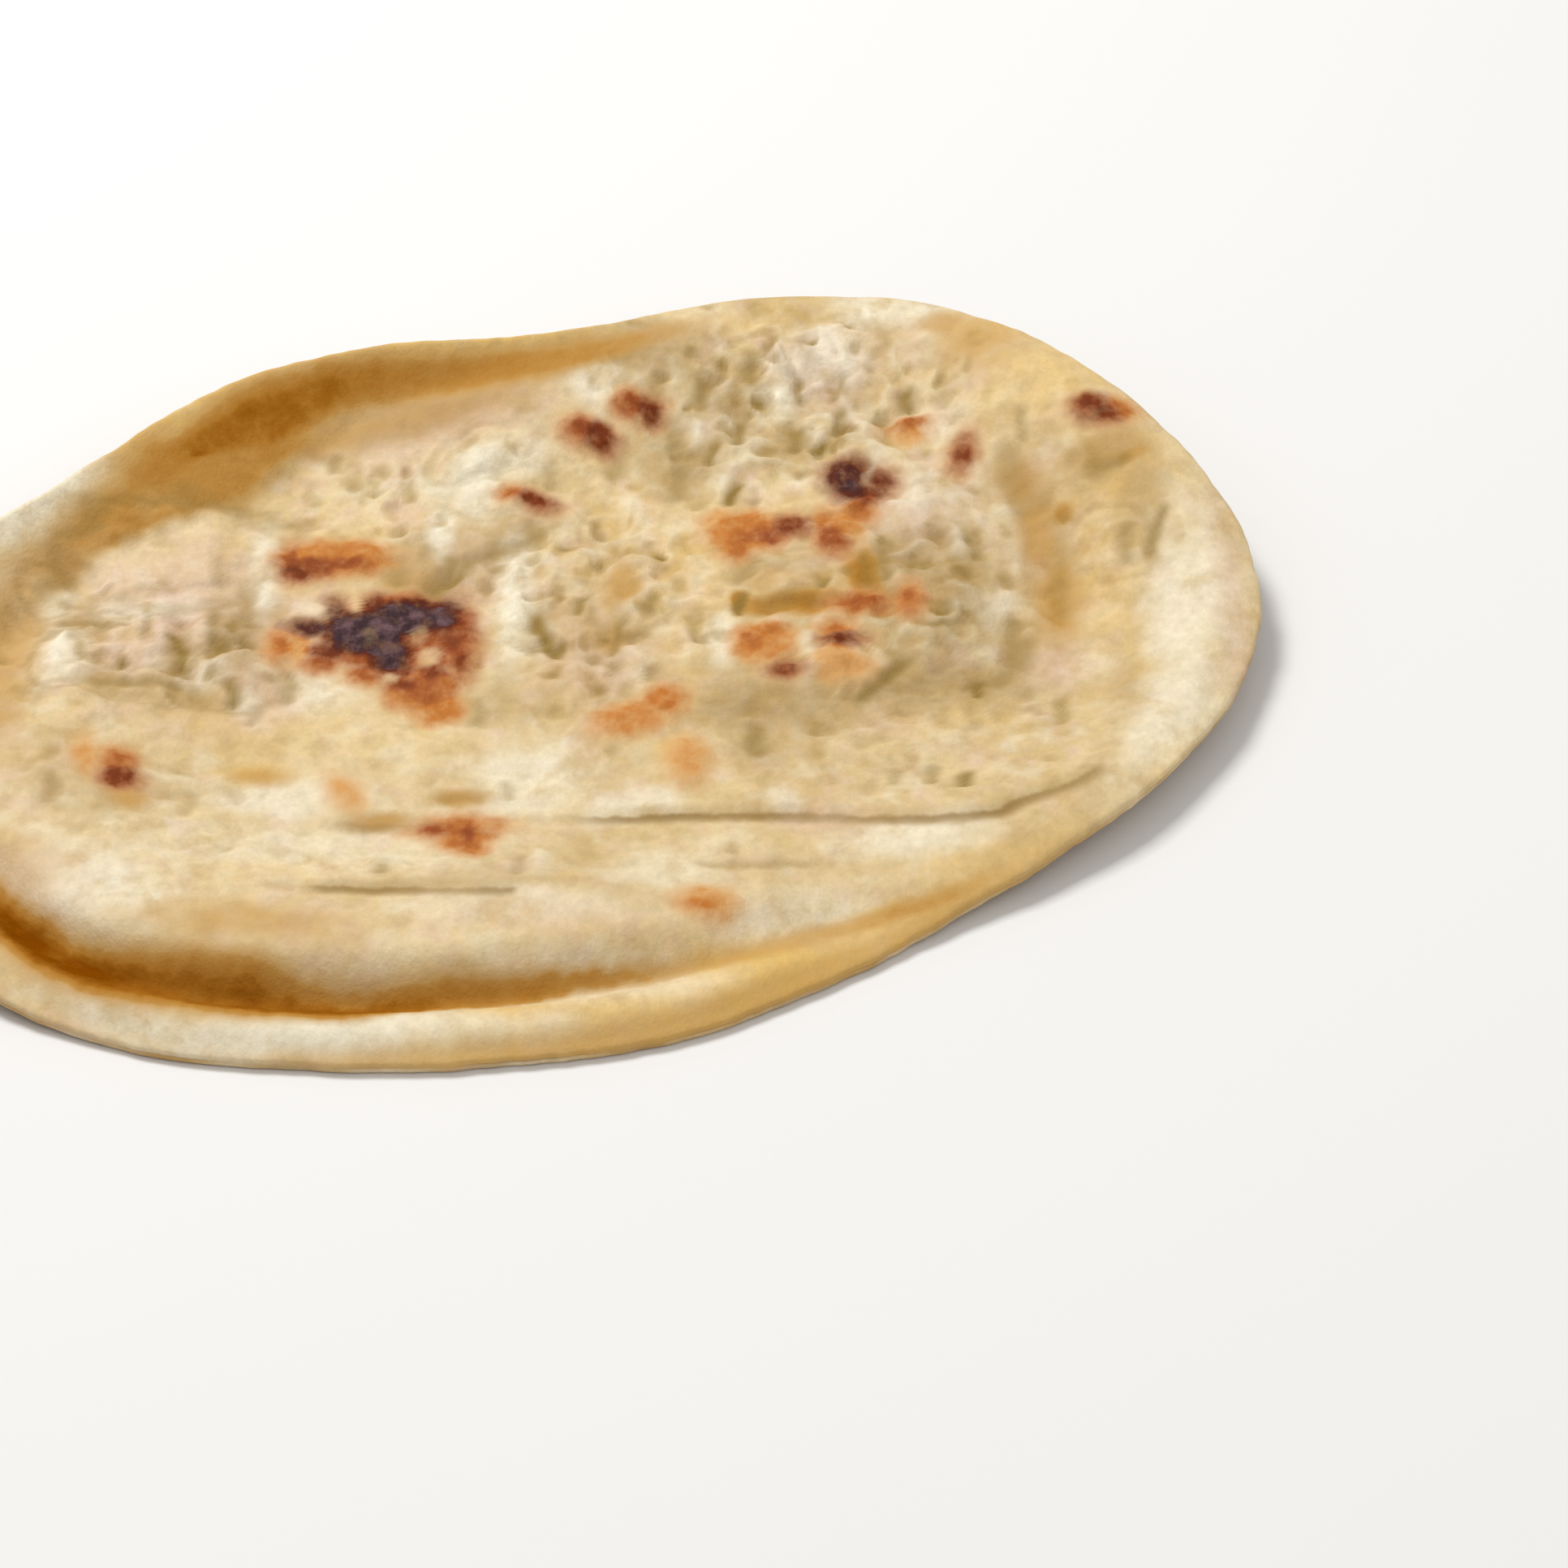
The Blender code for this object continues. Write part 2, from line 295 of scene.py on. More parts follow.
# Valleys and creases between the bubbles: (depth, half width, shade, points)
CREASES = (
    (0.45, 1.9, 0.62, ((-18.5, 11), (-16.5, 18), (-12.5, 23), (-6.5, 27), (-3, 32))),
    (0.4, 1.2, 0.95, ((-5, 11.5), (-4.4, 7), (-3.4, 4), (-3, 0))),
    (0.25, 0.8, 0.8, ((1.8, 13.5), (0.9, 11), (0, 8))),
    (0.25, 0.9, 0.65, ((6.6, 9), (5.4, 4), (4.2, -1))),
    (0.25, 1, 0.6, ((15.4, 9), (14.6, 5), (15.4, 1))),
    (0.2, 0.9, 0.7, ((2.2, 32.5), (3, 29), (3.4, 26))),
    (0.35, 0.9, 1, ((21.6, 39), (20.4, 36), (19.6, 32.5))),
    (0.3, 0.9, 0.85, ((18.8, 48.5), (17.8, 45.5), (17.2, 42))),
    (0.2, 1.5, 0.55, ((6.4, 48), (5.4, 44), (4.6, 39))),
    (0.2, 1.6, 0.5, ((14.4, 44), (13.4, 39), (12.4, 34))),
    (0.25, 1.6, 0.6, ((24, 20.5), (21.6, 18), (19.8, 13))),
    (0.3, 0.8, 0.95, ((21.4, 13), (20.6, 10), (20.4, 7))),
    (0.45, 1.5, 0.4, ((20.8, 10.4), (25, 9.4), (29, 10.2), (32, 9.6), (37, 9.4))),
    (0.25, 1.2, 0.6, ((36.2, 22), (36.8, 16), (37, 9))),
    (0.25, 1.2, 0.7, ((38.6, 24), (39, 18), (38.8, 11))),
    (0.2, 0.9, 0.6, ((43, 21), (42.4, 17), (42, 12))),
    (0.25, 0.9, 0.8, ((46.8, 4.6), (44.4, 3), (41, 5))),
    (0.35, 1.3, 0.85, ((43, -1), (39, -5.5), (36, -9), (33.5, -12))),
    (0.3, 0.8, 1, ((49.6, -5.4), (49.2, -7.8), (49, -10.6))),
    (0.35, 1.8, 0.5, ((55.4, 5), (55, 0), (53.6, -4), (50, -9))),
    (0.25, 0.9, 0.6, ((50.8, 25), (50.6, 21), (51, 17))),
    (0.35, 1.9, 0.35, ((55.4, 42), (55.8, 37), (56.4, 31), (57.4, 25))),
    (0.3, 1.3, 0.35, ((61.6, 29), (61.4, 20), (60.8, 12), (60.2, 3))),
    (0.15, 0.9, 0.5, ((57.4, 47), (57.8, 43), (58, 39))),
    (0.2, 1.2, 0.55, ((64.5, 34), (68, 32.2), (72, 33.4))),
    (0.2, 1.3, 0.55, ((70, 22), (69.4, 18), (69, 13))),
    (0.2, 0.9, 0.7, ((75, 24.5), (73.8, 21.5), (72.6, 17.5), (72, 13))),
    (0.2, 1.2, 0.4, ((-5.6, -42), (-5.8, -46), (-6.4, -50))),
    (0.15, 0.8, 0.5, ((-22.4, -44), (-22, -46), (-22.2, -48))),
    (0.15, 0.9, 0.45, ((-8.2, -25), (-7.8, -28), (-7.4, -30.4))),
    (0.12, 1, 0.35, ((58.4, -11), (58.8, -15), (58.6, -18))),
    (0.2, 1, 0.55, ((58.8, -10), (59.2, -14), (58.6, -18))),
    (0.3, 1, 0.9, ((47.4, -25.4), (46.6, -28), (46.4, -30.6))),
    (0.2, 0.9, 0.6, ((43.2, -23.5), (42.6, -26), (42.4, -29))),
    (0.15, 0.9, 0.5, ((39, -24), (38.6, -26.5), (38, -29))),
    (0.15, 1.5, 0.7, ((22.6, -14), (21.8, -18), (22.6, -23))),
    (0.3, 1, 0.95, ((-49.4, 6.5), (-48.4, 1.5), (-48, -4))),
    (0.3, 1.4, 0.65, ((-62, -5), (-56, -6.6), (-50, -6), (-46, -7.5))),
    (0.25, 1.3, 0.65, ((-65, 7.5), (-61, 8.8), (-58.4, 7.6), (-57.8, 4))),
    (0.2, 0.7, 0.55, ((-53.8, 13), (-52.8, 8), (-53.2, 2))),
    (0.2, 1, 0.5, ((-41.8, 19), (-40.8, 13), (-40.4, 6))),
    (0.2, 0.9, 0.6, ((-44.6, 14), (-44.8, 8), (-44, 1))),
    (0.3, 1.2, 0.6, ((-36.6, 1), (-34.6, -4), (-35.4, -10.5))),
    (0.3, 1, 0.8, ((-42.6, -4.4), (-41.4, -7.4), (-41.6, -11))),
    (0.2, 1, 0.5, ((-38, -9), (-38.6, -12), (-40, -14))),
    (0.2, 1.1, 0.45, ((-45.4, 24), (-44.6, 20), (-45, 16))),
    (0.3, 1.4, 0.75, ((17.4, 62), (16.6, 58), (17, 53))),
    (0.3, 1.4, 0.65, ((23.6, 66), (23.2, 62), (23.4, 57))),
    (0.25, 2.2, 0.55, ((12, 55), (12.8, 49), (13.4, 43))),
    (0.3, 1, 0.85, ((22, 54), (21.2, 50), (21, 46))),
    (0.35, 1.6, 0.8, ((29.6, 52), (28.6, 48), (28.8, 44))),
    (0.25, 0.9, 0.8, ((30, 61.5), (29.2, 58.5), (29.4, 55))),
    (0.25, 0.9, 0.65, ((35.6, 61.5), (35, 58.5), (33, 55))),
    (0.3, 1.2, 0.7, ((35.4, 55.5), (34.4, 51), (34, 47))),
    (0.3, 1.2, 0.9, ((43, 57), (43.6, 53.5), (43.6, 50.5))),
    (0.25, 0.9, 0.6, ((40.6, 53), (40.6, 48), (41.2, 43))),
    (0.2, 1.4, 0.5, ((10.6, 62), (11, 58), (9.6, 54))),
    (0.2, 2.4, 0.25, ((31, 76), (31, 72), (29.6, 66))),
    (0.15, 1.4, 0.5, ((-12, -7.5), (-11.6, -11), (-12.6, -15))),
    (0.15, 1, 0.45, ((-62, -26), (-61, -31), (-62, -36))),
    (0.15, 1, 0.4, ((-46, -27), (-45, -31), (-46.4, -35))),
    (0.12, 1, 0.45, ((13, -46), (18, -45.9), (23, -45.4), (32, -44.8))),
    (0.1, 0.8, 0.4, ((18.2, -40.6), (18.6, -42.4), (18.2, -43.8))),
    (0.15, 1.1, 0.35, ((-17, -29.6), (-13, -29.6), (-9.8, -29.4))),
    (0.3, 1.6, 0.85, ((-17.6, 12), (-16.8, 17), (-13, 22))),
    (0.3, 1.2, 0.65, ((-15.8, 25.5), (-15.4, 21), (-15.8, 17))),
    (0.25, 1.1, 0.55, ((-31, 47.5), (-31.4, 45), (-31, 42))),
    (0.2, 1.4, 0.5, ((-22, 25), (-22.4, 20), (-21.6, 16))),
    (0.2, 1.2, 0.45, ((-3.6, 44), (-3, 40), (-2.6, 36.5))),
)
CREASE_DEPTH = 1.4        # of a crease marked 1

# Rows of the tables of patches: (x, y, half width, half depth, strength, direction, height).
# Direction and height are 0 where they are left out. A patch ends at the first and is full at
# the second of the reaches below, which are ratios of its half width and half depth.
PATCH_BORDER = (1.75, 0.25)
BLISTER_BORDER = (1.15, 0.5)
SPOT_BORDER = (1.7, 0.5)
FLAKE_BORDER = (1.4, 0.6)

# Regions with a blistered skin
BUBBLY = (
    (29, 54, 21, 18, 1), (38, 12, 19, 28, 0.8), (4, 14, 18, 26, 0.75), (62, 24, 10, 26, 0.4, 12),
    (-52, 2, 19, 14, 0.75), (-22, 34, 20, 14, 0.5, 25), (-52, -30, 20, 16, 0.34),
    (42, -22, 24, 12, 0.36), (-10, -20, 34, 14, 0.26), (-26, -42, 26, 10, 0.26),
)
BUBBLY_ELSEWHERE = 0.1    # strength outside the regions

# Fine wrinkles that follow rings round one centre
WRINKLE_CENTRE = (24.0, 18.0)
WRINKLE_START = (16.0, 22.0)      # distances from the centre where they begin and are full
WRINKLE_END = (36.0, 30.0)        # where they end and are still full
WRINKLE_SIDE = (26.0, 36.0)       # x where they begin and are full
WRINKLE_HEIGHT = 0.36

# Large blisters. Their strength is their height.
BLISTERS = (
    (-50.5, 22.5, 13, 9, 0.9, 28), (-54.5, 4.5, 5.5, 6.5, 0.8), (-44, 7.5, 4.4, 5, 0.6),
    (-41, -3.4, 5.4, 6, 0.9), (-62.5, -1, 3.4, 6, 0.8), (-65.5, 14.5, 3.2, 3.8, 0.7),
    (-52.5, -6, 7, 3.6, 0.5), (-60, -12, 4.5, 5.5, 0.5), (-12, 45, 6.5, 4, 0.6, 30),
    (-9.5, 37, 6, 4, 0.5, 20), (24, 62, 6, 6, 0.6), (33.5, 66, 6, 5, 0.6), (16, 50, 5, 6, 0.4),
    (7, 14, 4.6, 8, 0.6), (-2, 20, 4, 8, 0.5), (44, 28, 5, 6, 0.5), (45, 12, 6, 7, 0.5),
    (26, 17, 5, 4, 0.5), (-1, -6, 6, 5, 0.4), (68, 19, 4, 6, 0.5, 20),
)

# Spots toasted by the pan. Their strength is the toast, from 0.26 light brown through 0.44
# orange brown and 0.62 rust to 1 char. Their height is that of the blister under them.
SPOTS = (
    # Charred patch left of the middle
    (-22, 6.4, 9.8, 8.6, 0.64, 0, 0.15), (-14.6, 3.4, 2.5, 8, 0.62, 0, 0.3),
    (-16, 9.4, 2.2, 4.2, 0.9), (-18.6, -6.2, 4.4, 4.4, 0.56, 0, 0.3), (-16.6, -10, 3, 3.4, 0.44),
    (-32.4, 7.4, 3, 1.9, 0.93, -24, 0.1), (-29.4, 9.8, 1.6, 4.2, 0.93, 6),
    (-26, 5.6, 5, 5, 1, 0, 0.25), (-21.5, 9, 6, 4.2, 1, 0, 0.2), (-20.6, 12.6, 5.6, 1.8, 0.86, 4),
    (-22.6, 1.4, 3.2, 3.8, 0.96), (-22, -2.2, 3, 2.2, 0.76), (-30.8, 2.2, 2, 2.4, 0.78, 20, 0.1),
    (-36.4, 3.4, 1.4, 3, 0.5, 0, 0.35), (-34.2, 3.4, 1.8, 3.2, 0.3), (-17.2, -3.2, 1.8, 1.8, 0.72),
    (-31, -0.2, 2.2, 2, 0.6, 0, 0.1), (-25.4, -3, 2.4, 2, 0.58, 0, 0.1),
    (-20.8, -5.4, 2, 1.8, 0.7), (-13.8, -1, 1.5, 2.4, 0.68), (-25.2, 12.8, 1.7, 2.2, 0.78),
    # Long brown bar behind it
    (-30.2, 23.2, 6.8, 3.9, 0.41, 0, 0.6), (-32.8, 21.4, 4.2, 2.2, 0.66, 3),
    (-35, 19.8, 1.9, 1.6, 0.72), (-28.4, 21.8, 3.6, 2, 0.6, 4), (-36, 22.8, 1.4, 3.2, 0.6),
    # Dark dots at the back
    (0.8, 48.9, 2.5, 2.6, 0.64, 0, 0.5), (3.1, 48.1, 2.4, 2.7, 0.78, 0, 0.3),
    (7.4, 54.7, 2.3, 2.3, 0.62, 0, 0.5), (9.7, 54.2, 1.8, 2.5, 0.78, -8),
    # Dark streak behind the middle
    (-5.2, 35.2, 2.8, 1.4, 0.74, -22, 0.3), (-7.9, 36.3, 1.8, 1.2, 0.52, -10),
    # Charred spot at the back right, and its trail to the front
    (35, 37.9, 3.2, 4, 0.92, 0, 0.5), (35.6, 34.4, 2.5, 2.4, 0.86), (39.3, 35.8, 1.8, 3, 0.8, -6),
    (37.2, 33.6, 2, 2.4, 0.7, 0, 0.2), (36.2, 30.4, 1.8, 2.6, 0.54, 0, 0.2),
    (34.2, 27.4, 2.4, 3.8, 0.38, 0, 0.2), (32.6, 23.6, 1.9, 3.5, 0.62, 4, 0.2),
    (31.6, 28, 1.2, 2.4, 0.5),
    # Rust streak beside it
    (21.6, 26.6, 4.6, 4.9, 0.42, 0, 0.4), (23.4, 25.8, 3.6, 2.7, 0.56, 12),
    (27.5, 27.6, 2.5, 2.7, 0.74, -10), (20.4, 22.8, 2, 2.3, 0.48),
    (25.2, 25.2, 2.8, 1.8, 0.58, 20), (18.6, 29.6, 2.4, 2.4, 0.28),
    # Spots along the back right rim
    (43.6, 49, 2.3, 1.2, 0.54, 0, 0.4), (43.6, 47, 1.9, 1.9, 0.3),
    (50, 40.8, 1.6, 3.3, 0.74, -10, 0.4), (67, 42.6, 2.6, 2.6, 0.76, 0, 0.3),
    (68.4, 41, 2.2, 1.9, 0.76), (70, 42.2, 2.2, 2.4, 0.5),
    # Reddish blister right of the middle
    (23.4, 0.8, 3.8, 4.1, 0.39, 0, 0.35), (22, 1.6, 1.9, 2.5, 0.52), (24.4, 3.4, 1.8, 1.4, 0.46),
    # Small spots round it
    (26, -5, 2.1, 1.5, 0.76), (32.9, 0.6, 2.5, 1.8, 0.8, 4, 0.35), (32.4, 3, 2, 1.7, 0.48),
    (32.8, -4.2, 3.2, 3.1, 0.28, 0, 0.25), (41.8, 8.4, 1.6, 2.8, 0.54, 0, 0.25),
    (35.6, 8.8, 3.2, 2.3, 0.58),
    # Orange streak in front of the middle
    (7, -13.4, 4.3, 3.2, 0.38, 18, 0.45), (10.9, -10, 2.5, 2.9, 0.46, -10),
    (4.6, -13.8, 2, 2, 0.36), (13.8, -22.8, 2.3, 4.2, 0.28, 0, 0.5),
    # Dark dot at the left
    (-54, -24.6, 1.9, 3.3, 0.56, 6, 0.5), (-53.6, -27.4, 2.3, 2.3, 0.74),
    (-58, -22.8, 1.3, 3.2, 0.3, 8),
    # Triangle in front of the layer edge
    (-13.4, -35.8, 4.7, 2.1, 0.52, 2, 0.3), (-12.6, -38.4, 3, 2.6, 0.5),
    (-11.8, -40.8, 1.8, 1.8, 0.5), (-16, -36.2, 2.2, 1.5, 0.6, -30), (-12.2, -37.2, 0.9, 2.6, 0.6),
    # Faint marks at the front
    (15.6, -54.2, 3.2, 2.6, 0.31, 0, 0.3), (15, -55, 2.2, 1.4, 0.41),
    (-27, -28, 1.6, 3, 0.22, 25, 0.2),
)
# Pale skin left standing in the char
FLAKES = (
    (-19.2, 5.6, 1.2, 2.1, 0.34), (-17.9, 0.6, 1.4, 2, 0.66), (-22.4, -4, 1, 1.2, 0.5),
    (-27.3, 12.8, 0.8, 2.3, 0.9), (-32.6, 11.6, 1.6, 1.4, 0.85), (-25.4, 5.4, 1, 1.8, 0.14),
    (37.6, 37.4, 0.7, 1.6, 0.28, -20),
)
FLAKE_HEIGHT = 0.25       # of a flake marked 1
BLEND = 5                 # power whose sums join overlapping spots

# Uneven cooking: floury, dry and rosy, thin and translucent, fried, and soaked with ghee.
# The pale areas also carry painted highlights on rims and ridges that catch the light, the
# olive areas painted shade in hollows and on shaded sides, and the golden areas painted shade
# in valleys and on slopes that face away from the light.
PALE_AND_HIGHLIGHT_AREAS = (
    (75.5, 3, 4.6, 17, 0.72, -4), (72.5, -17, 4.6, 13, 0.72, -16), (-50, -71, 10, 2.6, 0.8, -35),
    (-12, 38, 3.4, 5, 0.8), (-17, 30, 1.6, 5, 0.8), (6, -67, 11, 3.4, 0.6, 5),
    (25, -54.6, 8, 3.6, 0.5, 15), (-55, -50, 9, 5, 0.8, -35), (-38.8, 22, 1.7, 9, 1),
    (-7.2, 14, 2.2, 12, 0.9), (-63, 0, 2.8, 6, 0.7), (-64.5, 14, 2.6, 3.4, 0.6),
    (-56, 11, 3.4, 3, 0.6), (-45.4, -3.4, 2.4, 3, 0.6), (-40, -9.4, 1.8, 2.4, 0.5),
    (-32, 11.6, 2, 2, 0.5), (-10, 42, 8, 3.4, 0.8, 32), (2.5, 59, 3.6, 3.4, 0.8),
    (-5, -25, 7, 7, 0.6), (7, -32, 5, 3.6, 0.6), (25, -31.4, 1.8, 3.2, 0.5), (10, -48, 6, 4, 0.5),
    (-3, -55.4, 15, 3.4, 0.36, 3), (41, -40, 9, 3.4, 0.7, 5), (-34, -28.5, 7, 4, 0.6),
    (-31.5, -5.5, 4, 5, 0.6), (18, 1.8, 2, 4.4, 0.8), (42, 72, 8, 4.6, 0.7, -24),
    (33, 64, 6.5, 5, 0.6), (-30, -75.5, 24, 2.6, 0.9, 2), (-68, 26, 2.4, 8, 1, -32),
    (47, 48, 2.8, 4, 0.5), (45, 33, 4, 6, 0.4), (64, -5, 4, 4, 0.3), (-66, 30, 3, 9, 1, -35),
    (-29, -41, 16, 7, 0.4),
)
ROSY_AREAS = (
    (-22, 33, 3, 3.6, 0.6), (-14, 16, 3, 8, 0.7), (81, 0, 2, 24, 0.5), (-58, -50, 8, 4, 0.6, -35),
    (30, -35, 6, 3, 0.5), (-3, -58, 10, 3, 0.4), (-48, 6, 14, 16, 0.8), (59, -3, 4.4, 4.4, 0.8),
    (46, -4, 3, 3, 0.6), (-51, 7.6, 3, 5, 0.8), (-38.4, 6, 2, 3.4, 0.7), (-40, -8, 6, 6, 0.8),
    (33, 62, 6, 6, 1), (-14, 20, 6, 9, 0.6), (44, 28, 6, 8, 0.8), (2, -1, 6, 6, 0.6),
    (-17, 52, 14, 5, 0.7, 22), (38, -14, 5, 3, 0.5),
)
OLIVE_AND_SHADE_AREAS = (
    (-22, 53, 15, 4, 0.8, 17), (-42, 43, 8, 5, 0.5, 45), (4, 64.4, 13, 5, 1, 14),
    (72, 26, 3.4, 7, 0.6), (56, 34, 3.4, 9, 0.6), (45, 12, 9, 15, 1), (-42, 4, 5, 10, 0.9),
    (30, 73, 7, 3.6, 0.3), (54, 0, 3, 7, 0.8), (45, -7, 10, 6, 1, 10), (46, 30, 6, 6, 0.5),
    (34, 20, 8, 9, 0.5), (3, 6, 8, 9, 0.4), (-14, 22, 4, 8, 0.6), (57, 28, 3, 12, 0.8),
    (26, -11, 13, 6, 0.8), (38, -6.5, 5, 1.8, 0.9, 38), (22, -19, 3, 5, 0.6), (-19, 20, 5, 8, 0.8),
    (-7, 29, 8, 3.4, 0.8, 32), (20, 54, 9, 8, 0.7), (28, 47, 12, 6, 0.7), (14, 43, 7, 7, 0.8),
    (36, 57, 6, 4, 0.5), (25, 18.5, 5, 3.6, 0.7), (38.5, 19, 2.4, 6, 0.6), (28.5, 10, 6, 2.6, 0.9),
    (-48.6, 0, 1.8, 6, 1), (-62, 7, 6, 3.6, 0.8), (-50, -8, 11, 3.6, 0.6), (-34, -3, 4, 5, 0.5),
    (-13, -29.5, 4, 2, 0.7), (-23, -34, 5, 1.6, 0.7), (-22, -46, 1.4, 2.6, 0.7),
    (-16, -50.5, 16, 1.8, 0.5), (68, 34, 5, 4, 0.7), (67.5, -9, 2, 7, 0.5),
    (-35, 50, 8, 4, 0.5, 40), (8, 65.5, 8, 3, 0.6, 20), (-10, -9, 5, 6, 0.4),
    (58.5, 38, 4, 7, 0.3), (-10, -49, 5, 5, 0.5), (20, -3, 6, 6, 0.5), (-56, -28, 8, 8, 0.6),
    (10, 45, 4, 7, 0.6), (-5, -42, 9, 6, 0.2),
)
GOLDEN_AND_SHADE_AREAS = (
    (60.2, 11, 3, 9.6, 0.46, -3), (58.8, 23, 3, 9, 0.4), (59.6, 17, 4.4, 16, 0.24, -3),
    (57.6, 33, 3, 5, 0.34), (62, 26.6, 1.4, 2, 0.5), (28.6, 9.8, 5, 2.4, 0.72),
    (24.2, 9, 4.6, 2, 0.54, -6), (20.6, 10.8, 1.2, 2.2, 0.66), (27, 14.4, 8, 3, 0.22),
    (36.4, 15, 2.4, 6.2, 0.76), (34, 7.8, 5, 2.6, 0.24), (-52.4, -31.8, 2.4, 2.2, 0.42),
    (-48.5, 41.8, 2.7, 0.8, 0.86, 30), (69, 35, 5, 5, 0.16), (71.5, 33.2, 2.4, 1.2, 0.42, 20),
    (53.4, 62, 6, 6.4, 0.3), (48.6, 67.4, 3.4, 3.6, 0.38), (44, 63, 5, 7, 0.14),
    (-36, -59, 11, 4, 0.3, -10), (-62, -46, 7, 4, 0.2, -40), (6, 14, 2.6, 5, 0.42),
    (4.8, 4, 2, 3.6, 0.36), (4, 12, 8, 14, 0.16), (-1, -5, 5, 6, 0.16), (-2, 12, 1.6, 6, 0.22),
    (-37.4, -24.2, 3.4, 1.9, 0.4, -10), (-22.4, -33.8, 3.2, 1.2, 0.42),
    (-13.6, -29.4, 2.6, 1.7, 0.42), (-52, 38.6, 8, 4, 0.62, 42), (-21, 18, 3.4, 3, 0.22),
    (29, 20, 3, 2.6, 0.2),
)
BUTTER_AREAS = (
    (61, 50, 8, 9, 0.45), (70, 30, 6, 8, 0.45), (66, 12, 4, 14, 0.4), (68, -6, 2, 6, 0.4),
    (54, 64, 6, 5, 0.5), (14, 20, 7, 10, 0.35), (14, 1, 3, 6, 0.5), (28, 12, 8, 3, 0.6),
    (8, 32, 10, 8, 0.3), (-37.6, -23.4, 3.4, 2.4, 0.75), (-27, -15, 16, 6, 0.2),
    (-30, -46, 10, 3, 0.35), (28, 72, 8, 4, 0.35, 10), (12.6, -20, 3, 3, 0.5),
    (42, -12, 10, 6, 0.3), (-48, -9, 10, 4, 0.4), (-60, 6, 4, 4, 0.4), (27, 31, 4, 4, 0.45),
    (-28, 30, 8, 4, 0.3), (50, -46, 10, 4, 0.35, 25), (42, -57.5, 10, 2.4, 0.9, 26),
    (20, -61, 9, 3, 0.5, 17), (-8, 66.5, 12, 2.2, 0.8, 12), (72, -29, 3, 6, 0.7, -20),
)

# Bands fried golden or soaked with ghee along the rim, the golden ones also painted shade on
# the slopes and in the valleys that face away from the light: (direction, then distances in
# from the edge where the band starts, is full, begins to fade and ends, then its strength).
# Golden strength runs from 0.3 toffee through 0.8 golden brown to 1 deep gold, much of which
# is painted shade.
VALLEY_GOLD_AND_SHADE = (
    (-166, 3, 6, 9, 14, 0), (-152, 2.6, 7, 9.4, 13.6, 0.85), (-140, 2.4, 7.8, 9.4, 13.4, 1),
    (-135, 1.8, 7.6, 9.6, 13.4, 0.97), (-130, 1.8, 6.4, 10, 14.5, 0.96),
    (-125, 1.6, 7.6, 10.6, 16.8, 0.8), (-120, 2.8, 8, 10.6, 17, 0.87),
    (-115, 3.6, 7.7, 9.2, 15.2, 0.93), (-110, 3.6, 7, 8.4, 13.8, 0.89),
    (-105, 5.5, 8.8, 9.8, 14, 0.8), (-100, 7, 9.8, 10.6, 14.2, 0.68),
    (-90, 8.4, 10.8, 11.2, 13.2, 0.62), (-80, 8, 9.8, 10.4, 12.6, 0.4),
    (-70, 5.2, 8, 9, 11.2, 0.34), (-60, 2.4, 5, 6.2, 8.2, 0.42), (-50, -0.5, 1.8, 2.6, 5.2, 0.46),
    (-40, -1, 0.5, 1, 3, 0),
)
LIP_GOLD_AND_SHADE = (
    (-128, -1, -0.5, 0.2, 1.8, 0), (-112, -1, -0.5, 0.4, 2.4, 0.22),
    (-100, -1, -0.5, 1.4, 3.6, 0.24), (-90, -1, -0.5, 0.8, 4, 0.32),
    (-80, -1, -0.5, 1.8, 4.6, 0.32), (-70, -1, -0.5, 2, 5, 0.3), (-60, -1, -0.5, 0.8, 4, 0.26),
    (-50, -1, -0.5, 2, 4.6, 0.32), (-40, -1, -0.5, 0.6, 2.8, 0.12), (-32, -1, -0.5, 0.6, 2.8, 0),
)
LIP_BUTTER = (
    (-122, -1, -0.5, 1, 4, 0), (-110, -1, -0.5, 1, 3, 0.3), (-100, -1, -0.5, 6, 9, 0.62),
    (-90, -1, -0.5, 8, 10.6, 0.58), (-80, -1, -0.5, 9, 11.6, 0.7), (-70, -1, -0.5, 8.6, 11, 0.74),
    (-60, -1, -0.5, 6, 8.4, 0.6), (-50, -1, -0.5, 2.6, 5, 0.6), (-40, -1, -0.5, 1, 3.4, 0.3),
    (-30, -1, -0.5, 1, 3.4, 0),
)
CURL_GOLD_AND_SHADE = (
    (74, 2, 5, 6.5, 10, 0), (84, 2, 5, 6.5, 10, 0.44), (90, 0.8, 5, 7, 11, 0.54),
    (100, 0.2, 3.8, 5.6, 12, 0.63), (110, 0.2, 3.8, 4.6, 10.6, 0.66),
    (120, -1.6, 3.4, 5, 10.4, 0.75), (130, -1.8, 4.8, 9.2, 12.8, 0.8),
    (140, 0.8, 4.8, 6.2, 9.6, 0.76), (150, 1, 5.2, 7, 12, 0.5), (160, 2, 6.4, 7.4, 9.4, 0.44),
    (170, 3, 8.4, 10.4, 13, 0.3), (180, 5, 11, 15, 21, 0.36), (192, 8, 14, 17, 22, 0.28),
    (205, 8, 14, 17, 22, 0),
)
RIM_BUTTER = (
    (84, -1, -0.5, 2.4, 4.4, 0), (96, -1, -0.5, 2.8, 5, 0.6), (120, -1, -0.5, 3, 6, 0.5),
    (140, -1, -0.5, 4, 7, 0.5), (160, -1, -0.5, 4, 7, 0.2), (170, -1, -0.5, 4, 7, 0),
)
